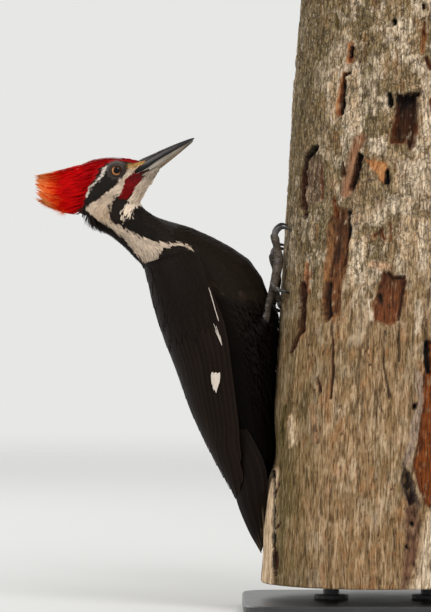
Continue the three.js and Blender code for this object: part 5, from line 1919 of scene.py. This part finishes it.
def covert_rows(run_start, run_step, rows, length, spacing, half, seed, first=0.03, last=0.99):
    """Staggered rows of small feathers across the wing: their paths over it."""
    draw = np.random.default_rng(seed)
    shares, runs, halves = [], [], []
    for row in range(rows):
        start = run_start + row * run_step
        width = np.interp(start, sheet_run, lead)
        count = max(3, int(round(width * (last - first) / spacing)))
        at = first + (np.arange(count) + 0.25 + 0.5 * (row % 2)) / count * (last - first)
        at = at + draw.normal(0, 0.1 / count, count)
        begin = start + draw.normal(0, 0.12 * run_step, count)
        end = begin + length * draw.uniform(0.9, 1.1, count)
        t = np.linspace(0, 1, 7)[None]
        shares.append(at[:, None] + 0 * t)
        runs.append(begin[:, None] + (end - begin)[:, None] * t)
        halves.append(np.full(count, half))
    return np.vstack(shares), np.vstack(runs), np.concatenate(halves)


COVERTS = [
    # start, step, rows, length, spacing, half width, seed, lift at the tip
    (-1.0, 3.4, 16, 12.5, 3.6, 2.5, 3101, 0.55),
    (48.0, 7.0, 3, 22.0, 4.8, 3.4, 3201, 0.7),
    (66.0, 9.0, 1, 36.0, 6.6, 4.6, 3301, 0.8),
]
covert_layers = []
for start, step, rows, length, spacing, half, seed, lift in COVERTS:
    share, run, halves = covert_rows(start, step, rows, length, spacing, half, seed)
    run = np.maximum(run, 0)
    edges = ((0.1, 0.25, 0.3), (lift - 0.12, lift, lift))
    covert_layers.append(wing_vanes(share, run, halves, edges, seed + 1, 5, 0.6, 0.3))
# Scapulars: longer, softer feathers from the shoulder blade, over the wing's inner border.
for start, rows, low_edge, high_edge in ((14, 7, 0.6, 1.0), (66.5, 7, 0.3, 0.45)):
    share, run, halves = covert_rows(start, 7.5, rows, 26, 5.0, 3.6, 3401, first=0.02, last=0.32)
    edges = ((0.7 * low_edge, low_edge, low_edge), (0.8 * high_edge, high_edge, high_edge))
    covert_layers.append(wing_vanes(share, run, halves, edges, 3402 + rows, 5, 0.6, 0.25))

WING_BROWN = tint("#160f0b")
# The white along the leading edge, seen from the side, and half its width.
EDGE_LINES = [
    ([(-160.2, 279.0), (-157.3, 268.3), (-154.9, 258.9), (-152.6, 251)], 0.34),
    ([(-156.4, 248.7), (-152.9, 238.2), (-150.6, 230)], 0.28),
]


def wing_home(top):
    """Each feather's place on the wing's own flat map."""
    first = top[:, 0, top.shape[2] // 2]
    return np.stack([(first[:, 2] - 80) / 260, (first[:, 0] + 235) / 130], -1) * 0.94 + 0.03


def mirrored(batch):
    """The same feathers on the left wing."""
    return {
        **batch,
        "points": batch["points"] * [1, -1, 1],
        "quads": batch["quads"][:, ::-1],
        "fans": batch["fans"][:, ::-1],
    }


flight_top, flight_out, flight_thick, flight_span = flight
fade = WING_BROWN * np.linspace(0.9, 1.5, flight_top.shape[1])[None, :, None, None]
worn = 0.75 + 0.6 * noise(quill[:, None] * 1.7 + 0.4, np.linspace(0, 5, fade.shape[1])[None], 3003)
quill_colour = fade * worn[..., None, None] * np.ones((QUILLS, 1, 1, 3))
home = wing_home(flight_top)
flight_batch = vanes(flight_top, flight_out, flight_thick, quill_colour, home, flight_span)


def in_strips(batch, count, longest):
    """A batch of feathers too long for one small patch each: each has a strip of its own."""
    across, along = batch["vane"][:, 0], batch["vane"][:, 1]
    number = np.repeat(np.arange(count), len(across) // count)
    flat = np.stack([(number + 0.5 + 0.42 * across) / count, 0.02 + 0.96 * along / longest], -1)
    return {**batch, "flat": flat}


flight_batch = in_strips(flight_batch, QUILLS, 175)
covert_batches = []
for top, outward, thick, span in covert_layers:
    colour = np.ones((len(top), 3)) * WING_BROWN
    covert_batches.append(vanes(top, outward, thick, colour, wing_home(top), span))

# White: a patch at the quills' bases, and the narrow lining along the leading edge.
draw = np.random.default_rng(3501)
white_roots, white_ends, white_halves = [], [], []
for line, half in EDGE_LINES:
    places = np.array(line, float)
    run_at = np.linspace(0, len(line) - 1, 9)
    for at in run_at[:-1]:
        x, z = (np.interp([at, at + 2.0], np.arange(len(line)), places[:, k]) for k in (0, 1))
        white_roots.append((x[0] + draw.normal(0, 0.4), z[0]))
        white_ends.append((x[1] + draw.normal(0, 0.4), z[1]))
        white_halves.append(half)
for offset, drop in ((-2.5, 5.0), (-1.2, 1.5), (0.2, -0.5), (1.4, 3.0), (2.5, 6.0)):
    white_roots.append((-155.6 + offset, 206.6))
    white_ends.append((-155.0 + 0.7 * offset, 190.0 + drop))
    white_halves.append(1.5)


def seen_on_wing(x, z):
    """The share across and run down the right wing where a side view meets it."""
    flat_gap = (sheet[..., 0] - x) ** 2 + (sheet[..., 2] - z) ** 2
    flat_gap = flat_gap + 50 * (sheet[..., 1] > -15)
    row, column = np.unravel_index(np.argmin(flat_gap), flat_gap.shape)
    return column / (SHEET_WIDTHS - 1), sheet_run[row]


t = np.linspace(0, 1, 6)
starts = np.array([seen_on_wing(*root) for root in white_roots])
ends = np.array([seen_on_wing(*end) for end in white_ends])
share = starts[:, :1] + (ends - starts)[:, :1] * t
run = starts[:, 1:] + (ends - starts)[:, 1:] * t
edges = ((1.5, 1.6, 1.6), (1.6, 1.8, 1.8))
white_layer = wing_vanes(share, run, np.array(white_halves), edges, 3502, 3, 0.5, 0.3)
top, outward, thick, span = white_layer
white_batch = vanes(top, outward, thick, np.ones((len(top), 3)) * WHITE * 0.9, wing_home(top), span)

feather_wing = plume_finish("feather_wing", 0.48, 0.05, (0.034, 0.021, 0.013, 1), 0.34, 0.9, 0.7)
for side in SIDES:
    turn = (lambda batch: batch) if side == "right" else mirrored
    coat_piece(f"wing_quills_{side}", [turn(flight_batch)], feather_wing)
    coverts = [turn(batch) for batch in covert_batches + [white_batch]]
    coat_piece(f"wing_coverts_{side}", coverts, feather_wing)

# ---- Tail: ten stiff pointed feathers closed into a tent, propped against the trunk ----
# Each has a strong horny shaft, worn to a paler point, where a painted highlight also lies along
# the shaft. The middle pair is the longest and lies on top, and the outer ones tuck in under it
# on each side.
TAIL_ROWS = [
    (-155, 162, 21, 18, 3.4), (-147.8, 140, 25.5, 25, 3.2), (-141, 115.2, 27, 28, 2.8),
    (-135, 91.5, 23, 23, 2.4), (-126.2, 70.5, 14.5, 14.5, 2.0), (-118.8, 57.6, 7, 6.6, 1.6),
    (-114.9, 51.2, 2.2, 1.0, 1.2),
]


def on_tail(share, along):
    """The place on the tent, a share across from -1 to 1 and along from 0 to 6."""
    x, z, half, sweep, _ = np.moveaxis(flowing(TAIL_ROWS, along), -1, 0)
    ahead = flowing(TAIL_ROWS, np.minimum(along + 0.05, 6))
    behind = flowing(TAIL_ROWS, np.maximum(along - 0.05, 0))
    run_x, run_z = ahead[..., 0] - behind[..., 0], ahead[..., 1] - behind[..., 1]
    length = np.hypot(run_x, run_z)
    depth = sweep * (1 - np.cos(share * pi / 2))
    return np.stack(
        [x - run_z / length * depth, half * np.sin(share * pi / 2), z + run_x / length * depth], -1
    )


# Each feather on the right: its middle across the tent at the root and at the tip, and its tip.
RECTRICES = [
    (0.17, 0.14, 5.95), (0.40, 0.42, 5.75), (0.58, 0.62, 5.45), (0.74, 0.8, 5.0), (0.88, 0.93, 4.3),
]
stations, columns = 34, 7
t = np.linspace(0, 1, stations)
across = np.linspace(-1, 1, columns)
tail_tops, tail_outs, tail_colours = [], [], []
for rank, (root_share, tip_share, tip_along) in enumerate(RECTRICES):
    for hand in (-1, 1):
        along = 0.1 + (tip_along - 0.1) * t
        share = root_share + (tip_share - root_share) * t
        body = np.minimum(1, 0.7 + t) * np.clip(1 - t**3.2, 0, 1) ** 0.75
        width_here = flowing(TAIL_ROWS, along)[:, 2]
        half_mm = np.maximum(7.2 * body, 0.35)
        room = np.maximum(1.35 * width_here, 4)
        spread = share[:, None] + half_mm[:, None] / room[:, None] * across
        spread = np.clip(spread, 0.0 if rank else -0.35, 1.04)
        down = np.broadcast_to(along[:, None], spread.shape)
        place = on_tail(hand * spread, down)
        near, ahead = on_tail(hand * spread + 0.01, down), on_tail(hand * spread, down + 0.02)
        outward = unit(np.cross(near - place, ahead - place))
        outward = outward * np.where(outward[..., :1] > 0, -1, 1)
        layer = 0.9 - 0.22 * rank
        tilt = 0.15 + 0.25 * across if rank else 0.3 - 0.1 * across**2
        ridge = 0.45 * np.clip(1 - np.abs(across) * 4.0, 0, 1)
        top = place + outward * (layer + tilt + ridge)[None, :, None]
        if hand < 0:
            top, outward = top[:, ::-1], outward[:, ::-1]
        tail_tops.append(top)
        tail_outs.append(outward)
        # Paler towards the point along the shaft: worn horn, and a painted highlight on the shaft.
        worn = rise(t, 0.72, 1.0)[:, None] * np.clip(1 - np.abs(np.append(across, 0)) * 3, 0, 1)
        colour = WING_BROWN * (0.75 + 0.5 * t[:, None, None] ** 3) * np.ones((1, columns + 1, 1))
        tail_colours.append(colour + (tint("#8d7a62") - colour) * 0.75 * worn[..., None])
tail_top, tail_out = np.stack(tail_tops), np.stack(tail_outs)
span = np.linalg.norm(np.diff(tail_top[:, :, 3], axis=1), axis=2).sum(1)
thick = np.full(tail_top.shape[:2], 0.45)
number = np.arange(len(tail_top))
home = np.stack([(number + 0.5) / len(tail_top), 0 * number + 0.5], -1)
tail_batch = vanes(tail_top, tail_out, thick, np.stack(tail_colours), home, span)
tail_batch = in_strips(tail_batch, len(tail_top), 130)
tail = coat_piece("tail_feathers", [tail_batch], feather_wing)
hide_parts("tail")
